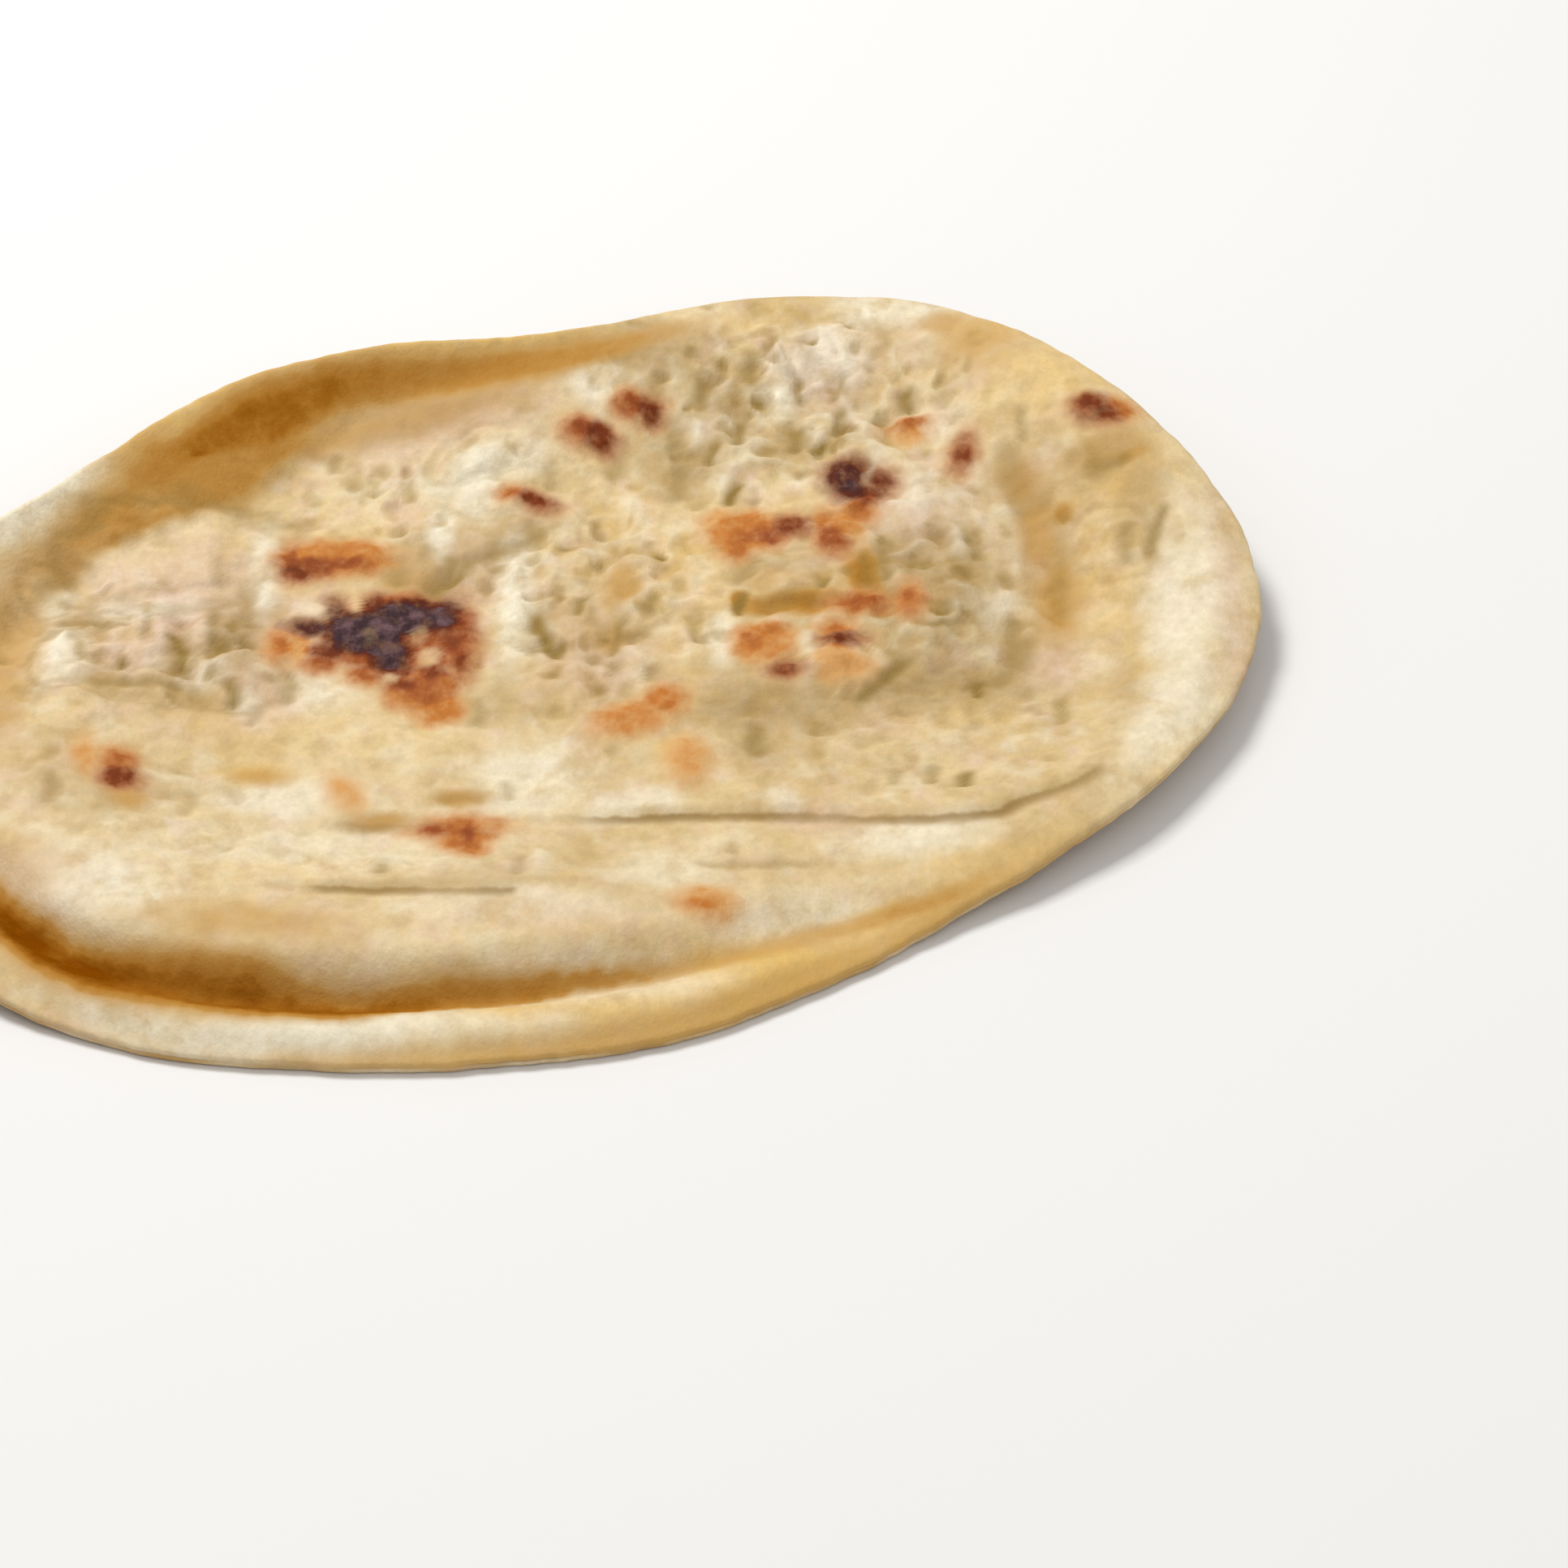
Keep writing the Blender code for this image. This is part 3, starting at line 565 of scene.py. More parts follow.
# Tan band towards the foot of the back left curl: painted shade on its slope, which faces away from
# the light
CURL_TAN_AND_SHADE = (
    (90, 4, 8, 10, 13, 0), (100, 4, 8, 9.5, 18, 0.18), (110, 4, 8, 10, 20, 0.2),
    (120, 4, 8, 10, 19, 0.22), (130, 8, 10, 11, 13.6, 0.6), (140, 6, 8, 12.6, 17, 0.54),
    (150, 6, 8, 10.2, 12.4, 0.5), (160, 5, 7, 8.6, 10.6, 0.46), (170, 6, 8, 10, 12.6, 0.28),
    (180, 6, 8, 10, 13, 0),
)


# --- relief and finish over the sheet ---------------------------------------------------------

def optional(row, place):
    """A row's value, or 0 where the row leaves it out."""
    return row[place] if len(row) > place else 0.0


def ellipse(x, y, patch):
    """Distance from a patch's middle, as a ratio of its half width and half depth."""
    at_x, at_y, width, depth = patch[:4]
    direction = math.radians(optional(patch, 5))
    c, s = math.cos(direction), math.sin(direction)
    along, across = (x - at_x) * c + (y - at_y) * s, (y - at_y) * c - (x - at_x) * s
    return np.hypot(along / width, across / depth)


def areas(x, y, table, ragged):
    """Strength of a table's patches, with soft ragged borders, 0 to 1."""
    strength = np.zeros(x.shape)
    for patch in table:
        reach = ellipse(x, y, patch) + ragged
        strength = np.maximum(strength, patch[4] * between(reach, *PATCH_BORDER))
    return strength


def smooth_line(points, pieces=8):
    """Points along a smooth curve through the given ones."""
    knots = [np.array(p) for p in points]
    knots = [2 * knots[0] - knots[1]] + knots + [2 * knots[-1] - knots[-2]]
    line = []
    for a, b, c, d in zip(knots, knots[1:], knots[2:], knots[3:]):
        for t in np.linspace(0.0, 1.0, pieces, endpoint=False):
            curve = 2 * b + (c - a) * t + (2 * a - 5 * b + 4 * c - d) * t ** 2
            line.append(0.5 * (curve + (3 * b - a - 3 * c + d) * t ** 3))
    line.append(knots[-2])
    return np.array(line)


def beside_line(x, y, points):
    """Signed distance to a smooth line, positive on its left, and the share of its length."""
    line = smooth_line(points)
    nearest = np.full(x.shape, 1e9)
    side = np.zeros(x.shape)
    share = np.zeros(x.shape)
    for i, (start, end) in enumerate(zip(line, line[1:])):
        run = end - start
        length = np.hypot(*run)
        t = np.clip(((x - start[0]) * run[0] + (y - start[1]) * run[1]) / length ** 2, 0.0, 1.0)
        off_x, off_y = x - start[0] - t * run[0], y - start[1] - t * run[1]
        away = np.hypot(off_x, off_y)
        closer = away < nearest
        cross = (run[0] * off_y - run[1] * off_x) / length
        nearest = np.where(closer, away, nearest)
        side = np.where(closer, np.where(cross >= 0.0, 1.0, -1.0), side)
        share = np.where(closer, (i + t) / (len(line) - 1), share)
    return nearest * side, share


def tapered(share, start, end):
    """1 along a line, easing to 0 over the first and the last share of its length."""
    return ease(share / start) * ease((1.0 - share) / end)


def layer_edges(shape, x, y):
    """Relief of the layer edges, distance in front of the nearest one, and how open it is."""
    height = np.zeros(x.shape)
    gap = np.full(x.shape, NO_EDGE)
    opening = np.zeros(x.shape)
    wander = uneven(x, y, 31.0, (0.30, 7.0), (0.10, 2.4))
    broken = np.clip(0.80 + 0.5 * wavy(x, y, 9.0, 33.0), 0.25, 1.0)
    for step, groove, points in LAYER_EDGES:
        away, share = beside_line(x, y, points)
        away = away + wander
        ends = tapered(share, 0.16, 0.08)
        upper = between(away, -1.2, 2.2) * between(away, 12.0, 0.0)
        trough = np.exp(-((away + 0.9) / 1.3) ** 2)
        relief = step * upper - 0.55 * groove * trough * broken
        height += ends * shape.layer_relief * relief
        closer = np.abs(away) < np.abs(gap)
        gap = np.where(closer, away, gap)
        near = between(np.abs(away), 4.5, 3.0)
        opening = np.where(closer, ends * near * broken * min(1.0, groove / 0.6), opening)
    return height, gap, opening


def pleats(x, y):
    """Relief of the narrow standing pleats."""
    height = np.zeros(x.shape)
    wander = uneven(x, y, 35.0, (0.6, 4.0), (0.25, 1.8))
    broken = 0.8 + 0.5 * wavy(x, y, 3.0, 34.0)
    for rise, half, points in PLEATS:
        away, share = beside_line(x, y, points)
        height += rise * tapered(share, 0.25, 0.25) * np.exp(-((away + wander) / half) ** 2)
    return height * broken


def creases(x, y):
    """Relief of the valleys between bubbles, and how much painted shade their floors get."""
    height = np.zeros(x.shape)
    shade = np.zeros(x.shape)
    wander = uneven(x, y, 37.0, (0.45, 3.4), (0.25, 1.6))
    for depth, half, darkness, points in CREASES:
        away, share = beside_line(x, y, points)
        floor = tapered(share, 0.22, 0.22) * np.exp(-((away + wander) / half) ** 2)
        height -= CREASE_DEPTH * depth * floor
        shade = np.maximum(shade, darkness * floor)
    return height, shade


def wrinkles(x, y):
    """Relief of the wrinkles, narrow across their rings and long round them."""
    off_x, off_y = x - WRINKLE_CENTRE[0], y - WRINKLE_CENTRE[1]
    away = np.hypot(off_x, off_y)
    wrinkle = wavy(away * 2.6, np.arctan2(off_y, off_x) * 16.0, 11.0, 15.0)
    grown = between(away, *WRINKLE_START) * between(away, *WRINKLE_END)
    return WRINKLE_HEIGHT * wrinkle * grown * between(x, *WRINKLE_SIDE)


def blistered_skin(shape, x, y, bubbly):
    """Relief of bubbles and wrinkles, the painted shade for the hollows and where skin stands up.
    """
    size = shape.bubble_size / MM
    drift = (1.2, 4.2), (0.5, 1.9)
    across = x + uneven(x, y, 11.0, *drift)
    along = y / 1.35 + uneven(x, y, 13.0, *drift)     # the skin was stretched front to back
    pits = domes(across, along, size, 0.46, 0.2)
    small_pits = domes(along + 40.0, across, 0.58 * size, 0.44, 4.3)
    swells = domes(across + 17.0, along + 9.0, 1.5 * size, 0.60, 8.1)
    ridges = np.clip(1.0 - 2.6 * np.abs(wavy(across, along, 0.9 * size, 18.0)), 0.0, 1.0)
    fine = rough(x, y, 2.2, 3, 19.0)
    bubbles = 0.45 * swells + 0.50 * ridges - 0.60 * pits - 0.30 * small_pits + 0.20 * fine
    height = bubbly * bubbles * shape.bubble_height / MM + wrinkles(x, y)
    broad = 0.40 * wavy(x, y, 19.0, 16.0) + 0.24 * rough(x, y, 8.0, 2, 17.0)
    # Where skin stands up, which is later painted lighter as a highlight, and painted shade in the
    # pits, less on the ridges
    standing = np.clip(0.7 * ridges + 0.4 * swells - pits, 0.0, 1.0)
    hollow_shade = 1.1 * pits + 0.55 * small_pits - 0.5 * ridges + 0.3 * fine
    return height + broad + 0.10 * fine, np.clip(bubbly * hollow_shade, 0.0, 1.0), standing * bubbly


def blisters(shape, x, y):
    """Relief of the large blisters, and the painted shade round their feet."""
    height = np.zeros(x.shape)
    shade = np.zeros(x.shape)
    warp = uneven(x, y, 21.0, (0.25, 4.0), (0.1, 1.7))
    for blister in BLISTERS:
        reach = ellipse(x, y, blister) + warp
        height = np.maximum(height, blister[4] * between(reach, *BLISTER_BORDER))
        foot = np.exp(-((reach - 1.22) / 0.16) ** 2)
        shade = np.maximum(shade, 0.45 * blister[4] * foot)
    return height * shape.blister_height / MM, shade


def toasted_spots(x, y):
    """Toast, how far it and its pale brown rim cover the skin, and the crust's relief."""
    total = np.zeros(x.shape)
    cover = np.zeros(x.shape)
    rim = np.zeros(x.shape)
    height = np.zeros(x.shape)
    ragged = uneven(x, y, 41.0, (0.60, 3.0), (0.35, 1.5))
    for spot in SPOTS:
        half = min(spot[2], spot[3])
        reach = ellipse(x, y, spot)
        outside = (reach - 1.0) * half + ragged * min(1.0, half / 2.6)
        soft = min(1.7, half)     # half the width of the toast's border
        body = between(outside, 1.24 * soft, -0.76 * soft)
        core = 0.82 + 0.18 * between(reach, 1.3, 0.3)
        total += (spot[4] * core * body) ** BLEND
        cover = np.maximum(cover, body)
        rim = np.maximum(rim, min(1.0, spot[4] / 0.5) * between(outside, 2.8, -0.4))
        height += optional(spot, 6) * between(reach, *SPOT_BORDER)
    toast = np.minimum(total ** (1.0 / BLEND) / np.maximum(cover, 0.05), 1.0)
    for flake in FLAKES:
        reach = ellipse(x, y, flake) + 0.25 * ragged
        bare = flake[4] * between(reach, *FLAKE_BORDER)
        cover = cover * (1.0 - bare)
        height += FLAKE_HEIGHT * bare
    scorched = between(toast * cover, 0.7, 0.95)
    crust = 0.22 * rough(x, y, 1.9, 3, 43.0) - 0.15
    return toast, cover, rim, height + scorched * crust


def band(direction, inward, table):
    """Strength of a band along the rim, whose width and strength vary with direction."""
    directions, *columns = zip(*table)
    start, full, fading, end, strength = (np.interp(direction, directions, c) for c in columns)
    return strength * between(inward, start, full) * between(inward, end, fading)


def fried_golden_and_shade(angle, inward, x, y):
    """Where ghee fried the sheet golden, in valleys and on slopes, painted darker there as shade
    where they face away from the light, and where it soaked in.
    """
    front = front_angle(angle)
    inward = inward + uneven(x, y, 52.0, (0.55, 8.0), (0.35, 1.8))
    bands = np.maximum.reduce([
        band(front, inward, VALLEY_GOLD_AND_SHADE),
        band(front, inward, LIP_GOLD_AND_SHADE),
        band(angle, inward, CURL_GOLD_AND_SHADE),
        band(angle, inward, CURL_TAN_AND_SHADE),
    ])
    bands = bands * (1.0 + 0.12 * rough(x, y, 5.0, 3, 51.0))
    ragged = 0.3 * wavy(x, y, 4.0, 54.0)
    butter = np.maximum.reduce([
        band(front, inward, LIP_BUTTER),
        band(angle, inward, RIM_BUTTER),
        areas(x, y, BUTTER_AREAS, ragged),
    ])
    golden = np.maximum(bands, areas(x, y, GOLDEN_AND_SHADE_AREAS, ragged))
    return np.clip(golden, 0.0, 1.0), np.clip(butter, 0.0, 1.0)


# --- mesh of the sheet ------------------------------------------------------------------------

# Cross-section of the edge: (distance inward, share of the thickness) from the groove
# between the outermost layers, over the upper or round the lower layer.
EDGE_OVER = ((0.42, 0.50), (0.10, 0.57), (0.0, 0.70), (0.10, 0.84), (0.38, 0.95), (0.85, 1.0))
EDGE_UNDER = ((0.42, 0.50), (0.14, 0.42), (0.05, 0.28), (0.20, 0.13), (0.65, 0.03), (1.3, 0.0))


def folded_grid(rings):
    """A square lattice folded onto a disc: each point's ring and angle, and its quads."""
    steps = np.arange(-rings, rings + 1)
    i, j = (a.ravel() for a in np.meshgrid(steps, steps, indexing="ij"))
    ring = np.maximum(np.abs(i), np.abs(j))
    wide = np.abs(i) >= np.abs(j)
    long_side = np.where(ring == 0, 1, np.where(wide, i, j))
    share = np.where(wide, j, -i) / long_side
    quarter = np.where(wide, np.where(i >= 0, 0.0, 180.0), np.where(j >= 0, 90.0, 270.0))
    angle = (quarter + 45.0 * share) % 360.0
    width = 2 * rings + 1
    first = (np.arange(width - 1)[:, None] * width + np.arange(width - 1)[None, :]).ravel()
    quads = np.stack([first, first + width, first + width + 1, first + 1], axis=1)
    return ring, angle, quads


def sheet_side(rings, profile):
    """Angle, distance inward, thickness share, quads and ring of one side's points."""
    ring, angle, quads = folded_grid(rings)
    steps = rings - ring
    last = len(profile) - 1
    inward = np.interp(steps, range(last + 1), [p[0] for p in profile])
    share = np.interp(steps, range(last + 1), [p[1] for p in profile])
    start = profile[last][0]
    inner = start + (outline(angle) - start) * (steps - last) / (rings - last)
    return angle, np.where(steps > last, inner, inward), share, quads, ring


def ragged_outline(angle):
    """Small unevenness of the hand-rolled edge."""
    x, y = MEAN_RADIUS * np.cos(np.radians(angle)), MEAN_RADIUS * np.sin(np.radians(angle))
    return uneven(x, y, 61.0, (0.45, 9.0), (0.22, 2.6))


def side_points(shape, angle, inward, share, over):
    """Plan and height of one side's points, with the fields that its finish needs."""
    # The groove between the outermost layers, at half the thickness, is open in places only
    groove = np.clip(0.55 + 0.9 * wavy(angle, angle * 0.0, 9.0, 63.0), 0.0, 1.2)
    tucked = np.where(np.abs(share - 0.5) < 0.01, inward * groove, inward)
    radius = outline(angle) - tucked + ragged_outline(angle) * ease(1.0 - inward / 9.0)
    radius = np.maximum(radius, 0.0)
    x, y = radius * np.cos(np.radians(angle)), radius * np.sin(np.radians(angle))
    middle_x, middle_y = outline_middle()
    own_x, own_y = x - middle_x, y - middle_y
    finish = upper_fields if over else lower_fields
    fields = finish(shape, angle, inward, own_x, own_y)
    thick = thickness(shape, angle, inward, x, y)
    z = lift(shape, angle, inward) + thick * share + fields.pop("relief")
    return np.stack([own_x, own_y, z], axis=1), fields


def upper_fields(shape, angle, inward, x, y):
    """Relief and finish of the upper side."""
    ragged = 0.30 * rough(x, y, 5.0, 3, 71.0)
    bubbly = np.maximum(areas(x, y, BUBBLY, ragged), BUBBLY_ELSEWHERE)
    skin, hollow_shade, standing = blistered_skin(shape, x, y, bubbly)
    steps, gap, opening = layer_edges(shape, x, y)
    # Painted shade on the upper layer where it rolls down to its edge
    rolled = 0.3 * opening * np.exp(-((gap - 0.2) / 1.6) ** 2)
    toast, cover, toast_rim, crust = toasted_spots(x, y)
    folds = pleats(x, y)
    valleys, shade = creases(x, y)
    # The blisters also give the painted shade round their feet
    raised, foot = blisters(shape, x, y)
    near_rim = 0.25 + 0.75 * between(inward, 1.0, 9.0)
    relief = near_rim * (skin + raised + steps + folds + valleys + crust)
    # Pale from the listed areas and the pleats: partly floury skin, partly a painted highlight on
    # rims and ridges that catch the light
    pale = np.maximum(areas(x, y, PALE_AND_HIGHLIGHT_AREAS, ragged), 1.1 * folds)
    golden, butter = fried_golden_and_shade(angle, inward, x, y)
    # Olive: partly thin skin, partly painted shade, less on ridges that stand in the light
    olive = np.clip(areas(x, y, OLIVE_AND_SHADE_AREAS, ragged) - 0.3 * standing, 0.0, 1.0)
    return {
        "relief": relief * ease(inward / 1.2),
        "toast": toast,
        "toast_cover": cover,
        "toast_rim": toast_rim,
        # Painted shade in the pits, creases, round blister feet and where layer edges roll down
        "hollow_shade": np.maximum.reduce([hollow_shade, shade, foot, rolled]),
        "layer_gap": gap,
        "layer_open": opening,
        "golden": golden,
        "butter": butter,
        # Skin that stands up gets a painted highlight
        "pale": np.clip(pale + 0.6 * standing * (1.0 - 0.8 * olive), 0.0, 1.0),
        "rosy": areas(x, y, ROSY_AREAS, ragged),
        "olive": olive,
        "blistered": bubbly,
    }


def lower_fields(shape, angle, inward, x, y):
    """Relief and finish of the underside, which only ever lifts off the resting surface."""
    spots = domes(x, y, 11.0, 0.42, 80.3) * between(wavy(x, y, 17.0, 81.0), -0.25, 0.15)
    flecks = domes(x, y, 5.0, 0.36, 84.6) * between(wavy(x, y, 12.0, 85.0), -0.1, 0.2)
    dimple = np.clip(rough(x, y, 6.0, 3, 82.0), 0.0, 1.0)
    patches = 0.5 + 0.5 * rough(x, y, 12.0, 3, 83.0)
    marked = np.maximum(spots, flecks)
    inside = between(inward, 3.0, 7.0)
    return {
        "relief": 0.35 * dimple * between(inward, 1.5, 7.5),
        "toast": 0.5 + 0.5 * np.maximum(spots, 0.5 * flecks),
        "toast_cover": ease(1.8 * marked) * inside,
        "toast_rim": ease(3.0 * marked) * inside,
        # Painted shade in the dimples, here and in the olive below
        "hollow_shade": 0.4 * dimple,
        "layer_gap": np.full(x.shape, NO_EDGE),
        "layer_open": np.zeros(x.shape),
        "golden": np.clip(0.45 * patches, 0.0, 1.0),
        "butter": np.zeros(x.shape),
        "pale": np.clip(0.6 - patches, 0.0, 1.0),
        "rosy": np.zeros(x.shape),
        "olive": np.clip(0.6 * dimple, 0.0, 1.0),
        "blistered": np.full(x.shape, 0.5),
    }


def close_sheet(top, bottom, rings_top, rings_bottom):
    """Joins both sides at the edge ring. The upper side has two points there for each lower one."""
    angle_t, ring_t, quads_t, count = top
    angle_b, ring_b, quads_b = bottom
    rim_t = np.flatnonzero(ring_t == rings_top)
    order = np.rint(angle_t[rim_t] * rings_top * 8 / 360.0).astype(int) % (rings_top * 8)
    rim_points = np.empty(rings_top * 8, int)
    rim_points[order] = rim_t
    on_rim = ring_b == rings_bottom
    place = np.rint(angle_b * rings_bottom * 8 / 360.0).astype(int) % (rings_bottom * 8)
    kept = np.flatnonzero(~on_rim)
    index = np.full(len(ring_b), -1)
    index[kept] = count + np.arange(len(kept))
    index[on_rim] = rim_points[2 * place[on_rim]]
    faces = quads_t.tolist()
    around = rings_bottom * 8
    for quad in quads_b[:, ::-1].tolist():
        face = []
        for here, after in zip(quad, quad[1:] + quad[:1]):
            face.append(int(index[here]))
            if on_rim[here] and on_rim[after]:
                forward = (place[after] - place[here]) % around == 1
                between = 2 * place[here] + (1 if forward else -1)
                face.append(int(rim_points[between % (2 * around)]))
        faces.append(face)
    return kept, faces


def sheet_mesh(shape):
    """The whole sheet as one closed mesh, with its finish fields on its points."""
    rings_top = 2 * shape.rings
    rings_bottom = shape.rings
    angle_t, inward_t, share_t, quads_t, ring_t = sheet_side(rings_top, EDGE_OVER)
    angle_b, inward_b, share_b, quads_b, ring_b = sheet_side(rings_bottom, EDGE_UNDER)
    top, fields_t = side_points(shape, angle_t, inward_t, share_t, True)
    bottom, fields_b = side_points(shape, angle_b, inward_b, share_b, False)
    kept, faces = close_sheet((angle_t, ring_t, quads_t, len(top)), (angle_b, ring_b, quads_b),
                              rings_top, rings_bottom)
    points = np.concatenate([top, bottom[kept]])
    size = (CAD_HIGH.x - CAD_LOW.x) / MM / CAD_WIDTH
    centre = np.array([0.5 * (CAD_LOW.x + CAD_HIGH.x), 0.5 * (CAD_LOW.y + CAD_HIGH.y), CAD_LOW.z])
    mesh = bpy.data.meshes.new("bread_sheet")
    mesh.from_pydata((points * MM * size + centre).tolist(), [], faces)
    for name in fields_t:
        values = np.concatenate([fields_t[name], fields_b[name][kept]])
        layer = mesh.attributes.new(name, "FLOAT", "POINT")
        layer.data.foreach_set("value", values.astype(np.float32))
    mesh.shade_smooth()
    return mesh


# --- materials --------------------------------------------------------------------------------

# Kinds of node, and the numbers of their sockets where several share a name
NOISE, RANGE = "ShaderNodeTexNoise", "ShaderNodeMapRange"
MATH, MIX = "ShaderNodeMath", "ShaderNodeMix"
VALUE, LOW, HIGH, TO_LOW, TO_HIGH = range(5)     # of a Map Range node
FACTOR, FIRST, SECOND, MIXED = 0, 6, 7, 2        # of a Mix node for colours

# Settings of nodes
COLOURS = {"data_type": "RGBA", "output": MIXED}
SMOOTH = {"interpolation_type": "SMOOTHSTEP"}
SUM = {"operation": "ADD"}
PRODUCT = {"operation": "MULTIPLY"}

# Fields that the mesh carries for its material
FIELDS = ("toast", "toast_cover", "toast_rim", "hollow_shade", "layer_gap", "layer_open", "golden",
          "butter", "pale", "rosy", "olive", "blistered")

# Noises of the dough: (name, size in millimetres, detail, roughness). The crumbs stand for
# flour grains of 0.2 mm, drawn coarser so that they show.
DOUGH_NOISES = (
    ("clouds", 20.0, 3.0, 0.5),
    ("blotches", 5.0, 4.0, 0.6),
    ("tints", 4.0, 1.5, 0.5),
    ("mottle", 2.2, 4.0, 0.62),
    ("scorch", 1.6, 2.5, 0.55),
    ("crumbs", 1.0, 4.0, 0.65),
    ("pores", 0.45, 2.0, 0.5),
)
CRACKLE_SIZE = 0.8        # of the cracks in the char, in millimetres
DRAWN_OUT = (1.0, 0.74, 1.0)      # the noises are drawn out front to back, as the skin was

# Colours of the toast, by how far it is cooked
TOAST_STOPS = (
    (0.26, "light_brown"),
    (0.44, "orange_brown"),
    (0.62, "rust"),
    (0.76, "brown"),
    (0.90, "dark_brown"),
    (1.00, "char"),
)


def add(tree, kind, inputs=None, output=0, **settings):
    """Adds a node, applies its settings and links, and gives one output, or all for None."""
    node = tree.nodes.new(kind)
    for name, value in settings.items():
        setattr(node, name, value)
    for name, value in (inputs or {}).items():
        socket = node.inputs[name]
        if isinstance(value, bpy.types.NodeSocket):
            tree.links.new(value, socket)
        elif socket.type == "RGBA":
            socket.default_value = (*value[:3], 1.0)
        else:
            socket.default_value = value
    return node.outputs if output is None else node.outputs[output]


def new_material(name):
    """A material with an empty node tree."""
    material = bpy.data.materials.new(name)
    material.use_nodes = True
    material.node_tree.nodes.clear()
    return material, material.node_tree


def dough_maps(tree):
    """By name: places in millimetres, the mesh's fields and the noises of the dough."""
    place = add(tree, "ShaderNodeTexCoord", output="Object")
    scale = [ratio / MM for ratio in DRAWN_OUT]
    mm = add(tree, "ShaderNodeVectorMath", {0: place, 1: scale}, **PRODUCT)
    maps = {"mm": mm}
    for name in FIELDS:
        maps[name] = add(tree, "ShaderNodeAttribute", output="Fac", attribute_name=name)
    for name, size, detail, roughness in DOUGH_NOISES:
        inputs = {"Vector": mm, "Scale": 1.0 / size, "Detail": detail, "Roughness": roughness}
        maps[name] = add(tree, NOISE, inputs, output="Color" if name == "tints" else "Fac")
    return maps


def bare_skin(tree, maps, colours):
    """Cream skin, browned in clouds and blotches, with tints that follow its thickness, and painted
    highlights and shade from its pale and olive patches.
    """
    share = add(tree, RANGE, {VALUE: maps["clouds"], LOW: 0.36, HIGH: 0.66}, **SMOOTH)
    skin = add(tree, MIX, {FACTOR: share, FIRST: colours.cream, SECOND: colours.fawn}, **COLOURS)

    # Faint tints everywhere, fainter where the skin is smooth
    tints = add(tree, "ShaderNodeSeparateColor", {"Color": maps["tints"]}, output=None)
    lively = add(tree, RANGE, {VALUE: maps["blistered"], LOW: 0.1, HIGH: 0.6, TO_LOW: 0.5})
    for channel, colour, most in (("Red", colours.rosy, 0.60), ("Green", colours.olive, 0.50),
                                  ("Blue", colours.pale, 0.42)):
        share = add(tree, RANGE, {VALUE: tints[channel], LOW: 0.48, HIGH: 0.72, TO_HIGH: most},
                    **SMOOTH)
        share = add(tree, MATH, {0: share, 1: lively}, **PRODUCT)
        skin = add(tree, MIX, {FACTOR: share, FIRST: skin, SECOND: colour}, **COLOURS)

    # The patches that the mesh marks, mottled, with painted highlights in the pale ones and painted
    # shade in the olive ones
    mottled = add(tree, RANGE, {VALUE: maps["mottle"], LOW: 0.30, HIGH: 0.70, TO_LOW: 0.90,
                                TO_HIGH: 1.06}, **SMOOTH)
    for name, most in (("rosy", 0.85), ("butter", 0.92), ("olive", 0.98), ("pale", 0.90)):
        share = add(tree, MATH, {0: mottled, 1: maps[name]}, **PRODUCT)
        share = add(tree, MATH, {0: share, 1: most}, use_clamp=True, **PRODUCT)
        colour = getattr(colours, name)
        skin = add(tree, MIX, {FACTOR: share, FIRST: skin, SECOND: colour}, **COLOURS)

    share = add(tree, RANGE, {VALUE: maps["blotches"], LOW: 0.48, HIGH: 0.72, TO_HIGH: 0.55},
                **SMOOTH)
    skin = add(tree, MIX, {FACTOR: share, FIRST: skin, SECOND: colours.tan}, **COLOURS)
    for name, most in (("crumbs", 1.05), ("mottle", 1.04)):
        grain = add(tree, RANGE, {VALUE: maps[name], LOW: 0.3, HIGH: 0.7, TO_LOW: 0.93,
                                  TO_HIGH: most})
        skin = add(tree, MIX, {FACTOR: 1.0, FIRST: skin, SECOND: grain}, blend_type="MULTIPLY",
                   **COLOURS)
    return skin


def golden_and_shaded_skin(tree, maps, colours, skin):
    """Toffee to deep gold where ghee fried the sheet and where shade is painted on its slopes and
    in its valleys, with a crumbly border, and its depth.
    """
    grit = add(tree, MATH, {0: maps["mottle"], 1: maps["crumbs"]}, **SUM)
    grit = add(tree, MATH, {0: grit, 1: -1.0}, **SUM)
    most = add(tree, RANGE, {VALUE: maps["golden"], LOW: 0.05, HIGH: 0.6, TO_HIGH: 0.15})
    gold = add(tree, MATH, {0: grit, 1: most}, **PRODUCT)
    gold = add(tree, MATH, {0: maps["golden"], 1: gold}, use_clamp=True, **SUM)
    for low, high, colour in ((0.0, 0.52, colours.toffee), (0.42, 0.80, colours.golden),
                              (0.72, 1.0, colours.deep_gold_and_shade)):
        share = add(tree, RANGE, {VALUE: gold, LOW: low, HIGH: high})
        skin = add(tree, MIX, {FACTOR: share, FIRST: skin, SECOND: colour}, **COLOURS)
    return skin, gold


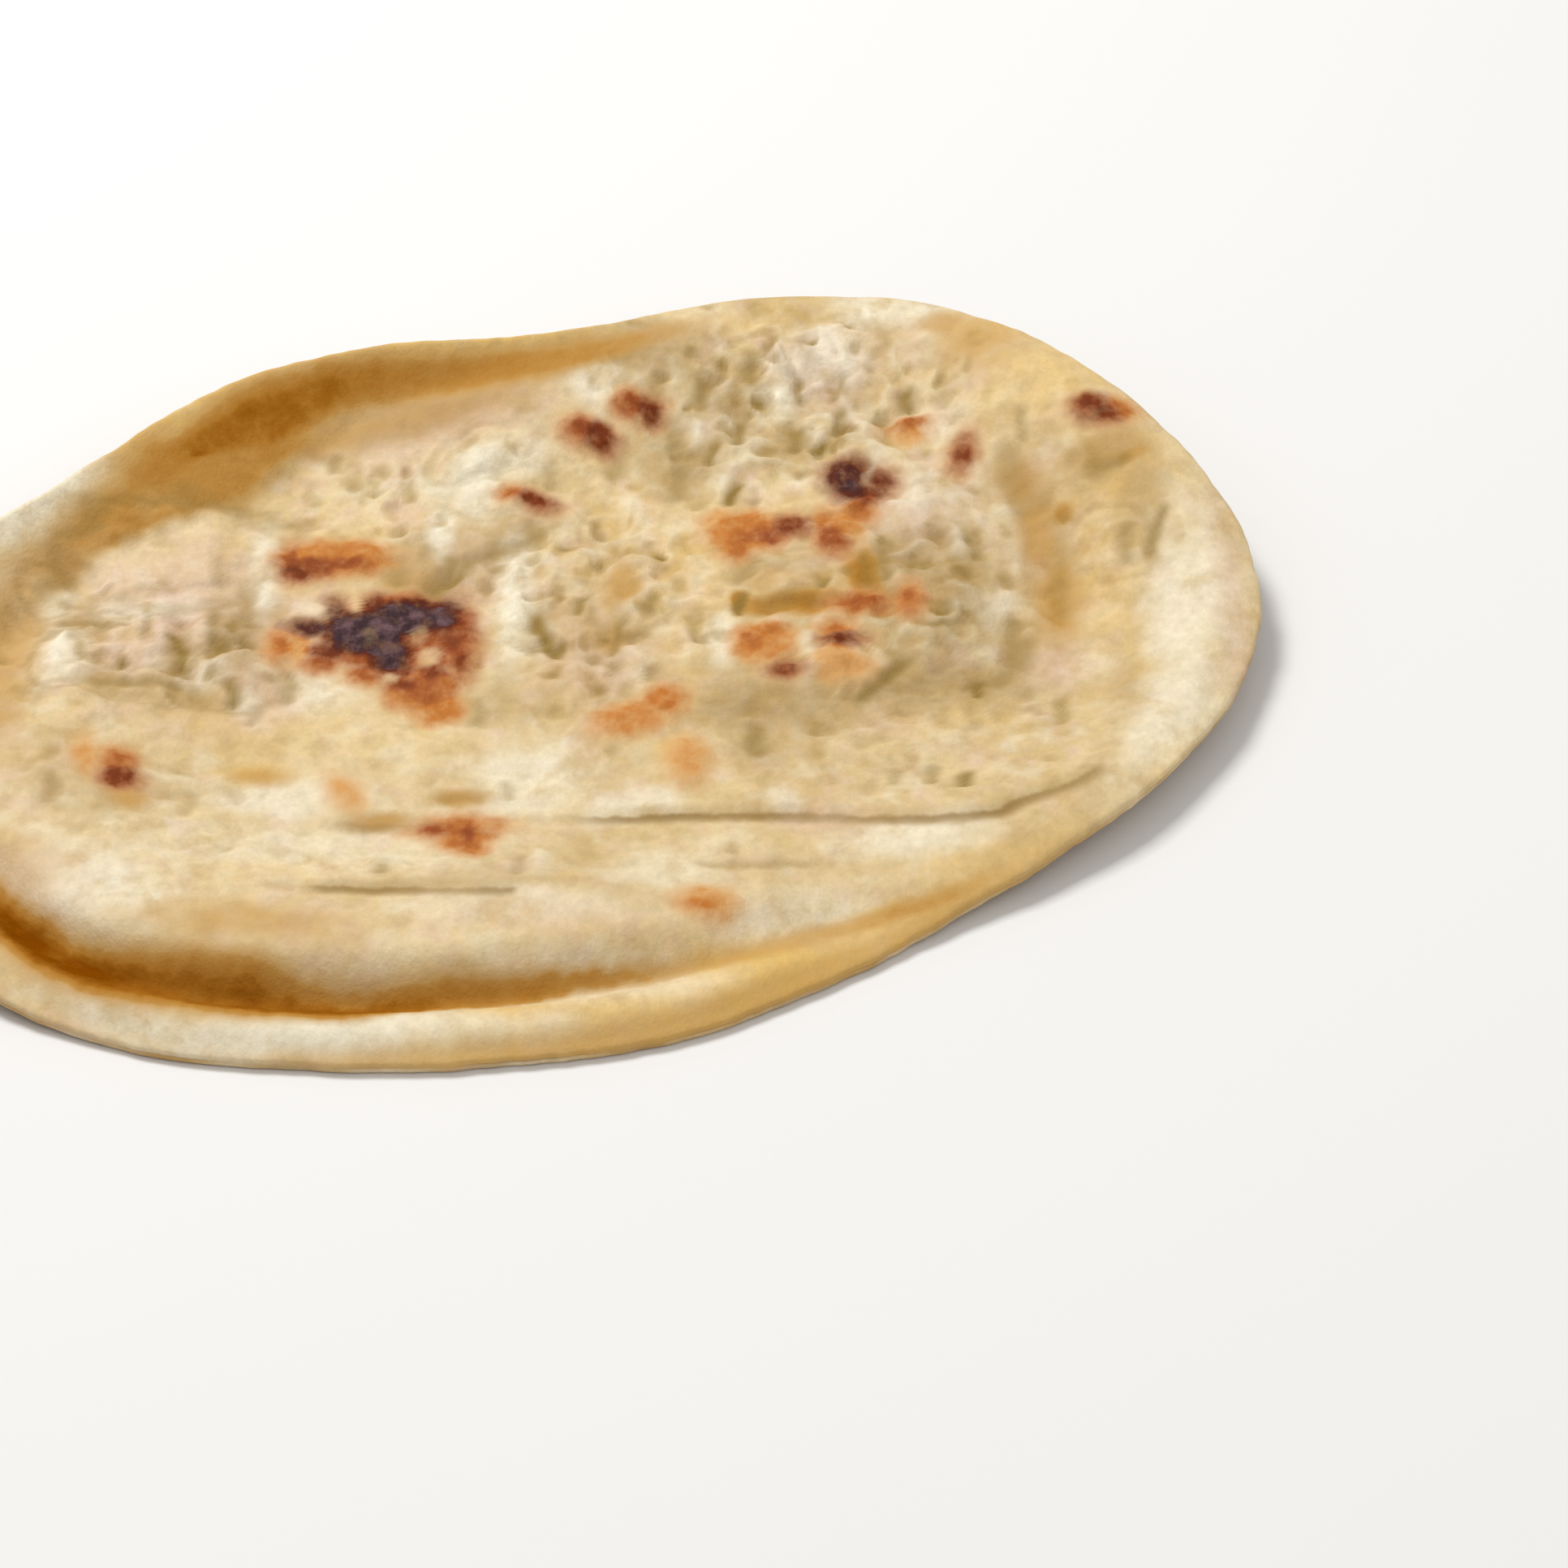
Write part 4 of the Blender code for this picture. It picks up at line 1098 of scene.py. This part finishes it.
def shaded_skin(tree, maps, colours, skin):
    """Painted shade in the hollows, and painted shadow in the gap under a layer's edge, sharp there
    and fading over 2.5 mm.
    """
    share = add(tree, RANGE, {VALUE: maps["hollow_shade"], LOW: 0.05, HIGH: 0.95})
    skin = add(tree, MIX, {FACTOR: share, FIRST: skin, SECOND: colours.hollow_shade}, **COLOURS)
    # Painted shadow at the foot of a layer's edge
    wander = add(tree, RANGE, {VALUE: maps["mottle"], LOW: 0.3, HIGH: 0.7, TO_LOW: -0.2,
                               TO_HIGH: 0.2})
    beside = add(tree, MATH, {0: maps["layer_gap"], 1: wander}, **SUM)
    lip = add(tree, RANGE, {VALUE: beside, LOW: 0.5, HIGH: -0.3, TO_HIGH: 0.85}, **SMOOTH)
    fade = add(tree, RANGE, {VALUE: beside, LOW: -2.8, HIGH: -0.3}, **SMOOTH)
    under = add(tree, MATH, {0: lip, 1: fade}, **PRODUCT)
    under = add(tree, MATH, {0: under, 1: maps["layer_open"]}, **PRODUCT)
    return add(tree, MIX, {FACTOR: under, FIRST: skin, SECOND: colours.gap}, **COLOURS)


def toasted_skin(tree, maps, colours, skin):
    """Toast over its pale brown rim, streaked, torn and ashy, and how scorched it is."""
    share = add(tree, MATH, {0: maps["toast_rim"], 1: 0.42}, **PRODUCT)
    skin = add(tree, MIX, {FACTOR: share, FIRST: skin, SECOND: colours.peach}, **COLOURS)
    streak = add(tree, RANGE, {VALUE: maps["scorch"], TO_LOW: -0.15, TO_HIGH: 0.15})
    cooked = add(tree, MATH, {0: maps["toast"], 1: streak}, use_clamp=True, **SUM)
    toast = add(tree, "ShaderNodeValToRGB", {"Fac": cooked})
    stops = toast.node.color_ramp.elements
    stops.remove(stops[1])
    for position, name in TOAST_STOPS:
        stops.new(position).color = (*getattr(colours, name), 1.0)
    stops.remove(stops[0])     # the one that every new ramp has at 0

    most = add(tree, RANGE, {VALUE: maps["toast_cover"], LOW: 0.02, HIGH: 0.4, TO_HIGH: 0.45})
    torn = add(tree, RANGE, {VALUE: maps["scorch"], TO_LOW: -0.65, TO_HIGH: 0.65})
    torn = add(tree, MATH, {0: torn, 1: most}, **PRODUCT)
    cover = add(tree, MATH, {0: maps["toast_cover"], 1: torn}, use_clamp=True, **SUM)
    skin = add(tree, MIX, {FACTOR: cover, FIRST: skin, SECOND: toast}, **COLOURS)
    scorched = add(tree, RANGE, {VALUE: cooked, LOW: 0.89, HIGH: 1.0}, **SMOOTH)
    scorched = add(tree, MATH, {0: scorched, 1: cover}, **PRODUCT)
    ash = add(tree, RANGE, {VALUE: maps["mottle"], LOW: 0.42, HIGH: 0.66, TO_HIGH: 0.7}, **SMOOTH)
    ash = add(tree, MATH, {0: ash, 1: scorched}, **PRODUCT)
    skin = add(tree, MIX, {FACTOR: ash, FIRST: skin, SECOND: colours.ash}, **COLOURS)
    return skin, scorched


def skin_texture(tree, maps, scorched):
    """Normals of the pores over the crumbs, with crackle where it is scorched."""
    pores = add(tree, MATH, {0: maps["pores"], 1: 0.4}, **PRODUCT)
    crackle = add(tree, "ShaderNodeTexVoronoi", {"Vector": maps["mm"],
                                                 "Scale": 1.0 / CRACKLE_SIZE})
    crackle = add(tree, MATH, {0: crackle, 1: scorched}, **PRODUCT)
    texture = add(tree, MATH, {0: pores, 1: maps["crumbs"]}, **SUM)
    texture = add(tree, MATH, {0: texture, 1: crackle}, **SUM)
    return add(tree, "ShaderNodeBump", {"Strength": 0.6, "Distance": 0.25 * MM,
                                        "Height": texture})


def fried_wheat_dough(colours):
    """Wheat dough fried on an iron pan: a dry cream skin, translucent in places and tan between
    its bubbles, where the tan is painted shade, with painted highlights on its ridges, golden
    where ghee has gathered and with painted shade on slopes and valleys, with spots from
    orange brown to black char."""
    material, tree = new_material("wheat dough fried with ghee")
    maps = dough_maps(tree)
    skin = bare_skin(tree, maps, colours)
    skin, gold = golden_and_shaded_skin(tree, maps, colours, skin)
    skin = shaded_skin(tree, maps, colours, skin)
    skin, scorched = toasted_skin(tree, maps, colours, skin)

    # A dry surface, rougher where it is scorched and without any sheen where it is golden
    dry = add(tree, RANGE, {VALUE: maps["mottle"], LOW: 0.3, HIGH: 0.7, TO_LOW: 0.58,
                            TO_HIGH: 0.74})
    sooty = add(tree, MATH, {0: scorched, 1: 0.12}, **PRODUCT)
    roughness = add(tree, MATH, {0: dry, 1: sooty}, use_clamp=True, **SUM)
    sheen = add(tree, RANGE, {VALUE: gold, TO_LOW: 0.12, TO_HIGH: 0.0})
    shader = add(tree, "ShaderNodeBsdfPrincipled", {
        "Base Color": skin, "Roughness": roughness, "IOR": 1.45, "Specular IOR Level": sheen,
        "Normal": skin_texture(tree, maps, scorched), "Subsurface Weight": 0.14,
        "Subsurface Scale": 1.2 * MM, "Subsurface Radius": (1.0, 0.66, 0.38)})
    add(tree, "ShaderNodeOutputMaterial", {"Surface": shader}, output=None)
    return material


def matte_board(colour):
    """Painted studio board: flat and pale, with a faint roller grain of about 2 mm."""
    material, tree = new_material("matte painted board")
    place = add(tree, "ShaderNodeTexCoord", output="Object")
    grain = add(tree, NOISE, {"Vector": place, "Scale": 0.5 / MM, "Detail": 2.0})
    roughness = add(tree, RANGE, {VALUE: grain, TO_LOW: 0.82, TO_HIGH: 0.92})
    normal = add(tree, "ShaderNodeBump", {"Strength": 0.05, "Distance": 0.1 * MM, "Height": grain})
    shader = add(tree, "ShaderNodeBsdfPrincipled", {
        "Base Color": colour, "Roughness": roughness, "Normal": normal,
        "Specular IOR Level": 0.2})
    add(tree, "ShaderNodeOutputMaterial", {"Surface": shader}, output=None)
    return material


# --- properties -------------------------------------------------------------------------------

def length(name, description, millimetres):
    """A length that the panel shows, with its default in millimetres."""
    return FloatProperty(name=name, description=description, default=millimetres * MM,
                         min=0.0, unit="LENGTH", precision=4)


def swatch(name, description, hex_colour):
    """A colour that the panel shows, with its default in sRGB hex."""
    return FloatVectorProperty(name=name, description=description, default=linear(hex_colour),
                               size=3, min=0.0, max=1.0, subtype="COLOR")


class ParathaShape(bpy.types.PropertyGroup):
    """Sizes of the bread."""

    thickness: length("Thickness", "Thickness of the cooked sheet", 2.3)
    rim_thickness: length("Rim thickness", "Thickness at the edge", 1.7)
    left_curl: length("Left curl", "Height of the back left edge", 8.5)
    back_curl: length("Back curl", "Height of the back right edge", 6.5)
    right_curl: length("Right curl", "Height of the swell along the right", 4.8)
    fold_height: length("Fold height", "Height of the crest along the front", 4.6)
    puff_height: length("Puff height", "Extra thickness of the puffed middle", 1.9)
    bubble_size: length("Bubble size", "Spacing of the small bubbles in the skin", 4.4)
    bubble_height: length("Bubble height", "Height of the small bubbles", 1.1)
    blister_height: length("Blister height", "Height of a blister marked 1", 1.3)
    layer_relief: FloatProperty(name="Layer relief", description="Height of the layer edges, "
                                "as a ratio of the listed ones", default=1.0, min=0.0)
    rings: IntProperty(name="Rings", description="Rings of faces on the underside, half of "
                       "those on top", default=68, min=16, max=70)


class ParathaColours(bpy.types.PropertyGroup):
    """Colours of the bread."""

    cream: swatch("Cream", "Cooked skin", "#D9C193")
    fawn: swatch("Fawn", "Skin cooked a little longer", "#CDB07B")
    # Pale is also the painted highlight on rims and ridges that catch the light
    pale: swatch("Pale", "Floury skin that hardly touched the pan", "#EAE1C8")
    rosy: swatch("Rosy", "Dry blistered skin", "#D5B5A0")
    # Olive is also painted shade in hollows and on slopes turned from the light
    olive: swatch("Olive", "Thin translucent skin", "#A88955")
    tan: swatch("Tan", "Blotches", "#C2A470")
    # Painted shade in the pits, creases and round the feet of blisters
    hollow_shade: swatch("Hollow", "Skin in the hollows", "#8E7237")
    butter: swatch("Butter", "Thin skin soaked with ghee", "#DDB35C")
    # Toffee, golden and deep gold also paint shade on slopes and in valleys turned from the light
    toffee: swatch("Toffee", "Skin lightly fried in ghee", "#B98C48")
    golden: swatch("Golden", "Skin fried in ghee", "#A46B1D")
    deep_gold_and_shade: swatch("Deep gold", "Skin where ghee has stood", "#7A4102")
    # Painted shadow under a layer's edge
    gap: swatch("Gap", "Gap under a layer's edge", "#8A6A32")
    peach: swatch("Peach", "Rim of a toasted spot", "#DBB07E")
    light_brown: swatch("Light brown", "Lightest toast", "#CB975A")
    orange_brown: swatch("Orange brown", "Light toast", "#B9722F")
    rust: swatch("Rust", "Medium toast", "#964E22")
    brown: swatch("Brown", "Dark toast", "#74330F")
    dark_brown: swatch("Dark brown", "Toast about to scorch", "#521E0A")
    char: swatch("Char", "Scorched skin", "#3A2529")
    ash: swatch("Ash", "Dusty bloom on the char", "#75585A")


class ParathaStudio(bpy.types.PropertyGroup):
    """Floor, lights and camera."""

    floor_colour: swatch("Floor", "Colour of the floor", "#E6E4E1")
    floor_size: FloatProperty(name="Floor size", description="Side of the floor", default=6.0,
                              min=1.0, unit="LENGTH")
    key_power: FloatProperty(name="Key power", description="Soft light from the back left",
                             default=10.5, min=0.0, unit="POWER")
    key_size: FloatProperty(name="Key size", description="Side of the key light",
                            default=0.40, min=0.01, unit="LENGTH")
    sky: FloatProperty(name="Sky", description="Strength of the even light around",
                       default=0.50, min=0.0)
    lens: FloatProperty(name="Lens", description="Focal length in millimetres", default=120.0,
                        min=10.0)
    camera_distance: FloatProperty(name="Camera distance", description="From the point it "
                                   "looks at", default=0.6256, min=0.1, unit="LENGTH")
    camera_elevation: FloatProperty(name="Camera elevation", description="Above the floor",
                                    default=math.radians(35.15), subtype="ANGLE")
    camera_azimuth: FloatProperty(name="Camera azimuth", description="To the right of the front",
                                  default=math.radians(-1.6), subtype="ANGLE")


# --- operators --------------------------------------------------------------------------------

# Lights and camera: places in metres, the fill light's size and power as ratios of the key
# light's, and the width of the film in millimetres
KEY_PLACE = (-0.42, 0.48, 0.98)
FILL_PLACE = (0.55, -0.65, 0.8)
FILL_SIZE = 2.2
FILL_POWER = 0.22
CAMERA_TARGET = (0.0252, -0.0241, 0.0)
SENSOR_WIDTH = 36.0


class PARATHA_OT_bread_sheet(bpy.types.Operator):
    """Make the fried sheet of dough in place of its CAD solid"""

    bl_idname = "paratha.bread_sheet"
    bl_label = "Bread Sheet"

    def execute(self, context):
        scene = context.scene
        piece = bpy.data.objects.new("bread_sheet", sheet_mesh(scene.paratha_shape))
        scene.collection.objects.link(piece)
        piece.data.materials.append(fried_wheat_dough(scene.paratha_colours))
        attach(piece, "root")
        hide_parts("paratha")
        return {"FINISHED"}


def aim(thing, target):
    """Turns a lamp or camera to look at a point."""
    thing.rotation_euler = (target - thing.location).to_track_quat("-Z", "Y").to_euler()


class PARATHA_OT_studio(bpy.types.Operator):
    """Make the floor, the soft lights and the camera"""

    bl_idname = "paratha.studio"
    bl_label = "Studio"

    def execute(self, context):
        scene = context.scene
        studio = scene.paratha_studio
        self.make_floor(scene, studio)
        self.make_light(scene, "key_light", KEY_PLACE, studio.key_size, studio.key_power)
        self.make_light(scene, "fill_light", FILL_PLACE, FILL_SIZE * studio.key_size,
                        FILL_POWER * studio.key_power)
        self.make_world(scene, studio)
        self.make_camera(scene, studio)
        scene.view_settings.view_transform = "Standard"
        return {"FINISHED"}

    def make_floor(self, scene, studio):
        half = 0.5 * studio.floor_size
        corners = [(-half, -half, 0.0), (half, -half, 0.0), (half, half, 0.0), (-half, half, 0.0)]
        mesh = bpy.data.meshes.new("studio_floor")
        mesh.from_pydata(corners, [], [(0, 1, 2, 3)])
        floor = bpy.data.objects.new("studio_floor", mesh)
        floor.data.materials.append(matte_board(studio.floor_colour))
        scene.collection.objects.link(floor)

    def make_light(self, scene, name, place, size, power):
        lamp = bpy.data.lights.new(name, "AREA")
        lamp.size = size
        lamp.energy = power
        light = bpy.data.objects.new(name, lamp)
        light.location = place
        scene.collection.objects.link(light)
        aim(light, Vector((0.0, 0.0, 0.0)))

    def make_world(self, scene, studio):
        world = bpy.data.worlds.new("studio_air")
        world.use_nodes = True
        background = world.node_tree.nodes["Background"]
        background.inputs["Color"].default_value = (1.0, 1.0, 1.0, 1.0)
        background.inputs["Strength"].default_value = studio.sky
        scene.world = world

    def make_camera(self, scene, studio):
        lens = bpy.data.cameras.new("camera")
        lens.lens = studio.lens
        lens.sensor_width = SENSOR_WIDTH
        camera = bpy.data.objects.new("camera", lens)
        target = Vector(CAMERA_TARGET)
        up, side = studio.camera_elevation, studio.camera_azimuth
        direction = Vector((math.sin(side) * math.cos(up), -math.cos(side) * math.cos(up),
                            math.sin(up)))
        camera.location = target + studio.camera_distance * direction
        scene.collection.objects.link(camera)
        aim(camera, target)
        scene.camera = camera


class PARATHA_PT_panel(bpy.types.Panel):
    """Paratha pieces and their sizes"""

    bl_idname = "PARATHA_PT_panel"
    bl_label = "Paratha"
    bl_space_type = "VIEW_3D"
    bl_region_type = "UI"
    bl_category = "Paratha"

    def draw(self, context):
        scene = context.scene
        for group in (scene.paratha_shape, scene.paratha_colours, scene.paratha_studio):
            box = self.layout.box()
            for name in group.__annotations__:
                box.prop(group, name)
        self.layout.operator(PARATHA_OT_bread_sheet.bl_idname)
        self.layout.operator(PARATHA_OT_studio.bl_idname)


CLASSES = (
    ParathaShape,
    ParathaColours,
    ParathaStudio,
    PARATHA_OT_bread_sheet,
    PARATHA_OT_studio,
    PARATHA_PT_panel,
)


def register():
    for cls in CLASSES:
        bpy.utils.register_class(cls)
    bpy.types.Scene.paratha_shape = PointerProperty(type=ParathaShape)
    bpy.types.Scene.paratha_colours = PointerProperty(type=ParathaColours)
    bpy.types.Scene.paratha_studio = PointerProperty(type=ParathaStudio)


def unregister():
    del bpy.types.Scene.paratha_studio
    del bpy.types.Scene.paratha_colours
    del bpy.types.Scene.paratha_shape
    for cls in reversed(CLASSES):
        bpy.utils.unregister_class(cls)


def main():
    register()
    bpy.ops.paratha.bread_sheet()
    bpy.ops.paratha.studio()


if __name__ == "__main__":
    main()
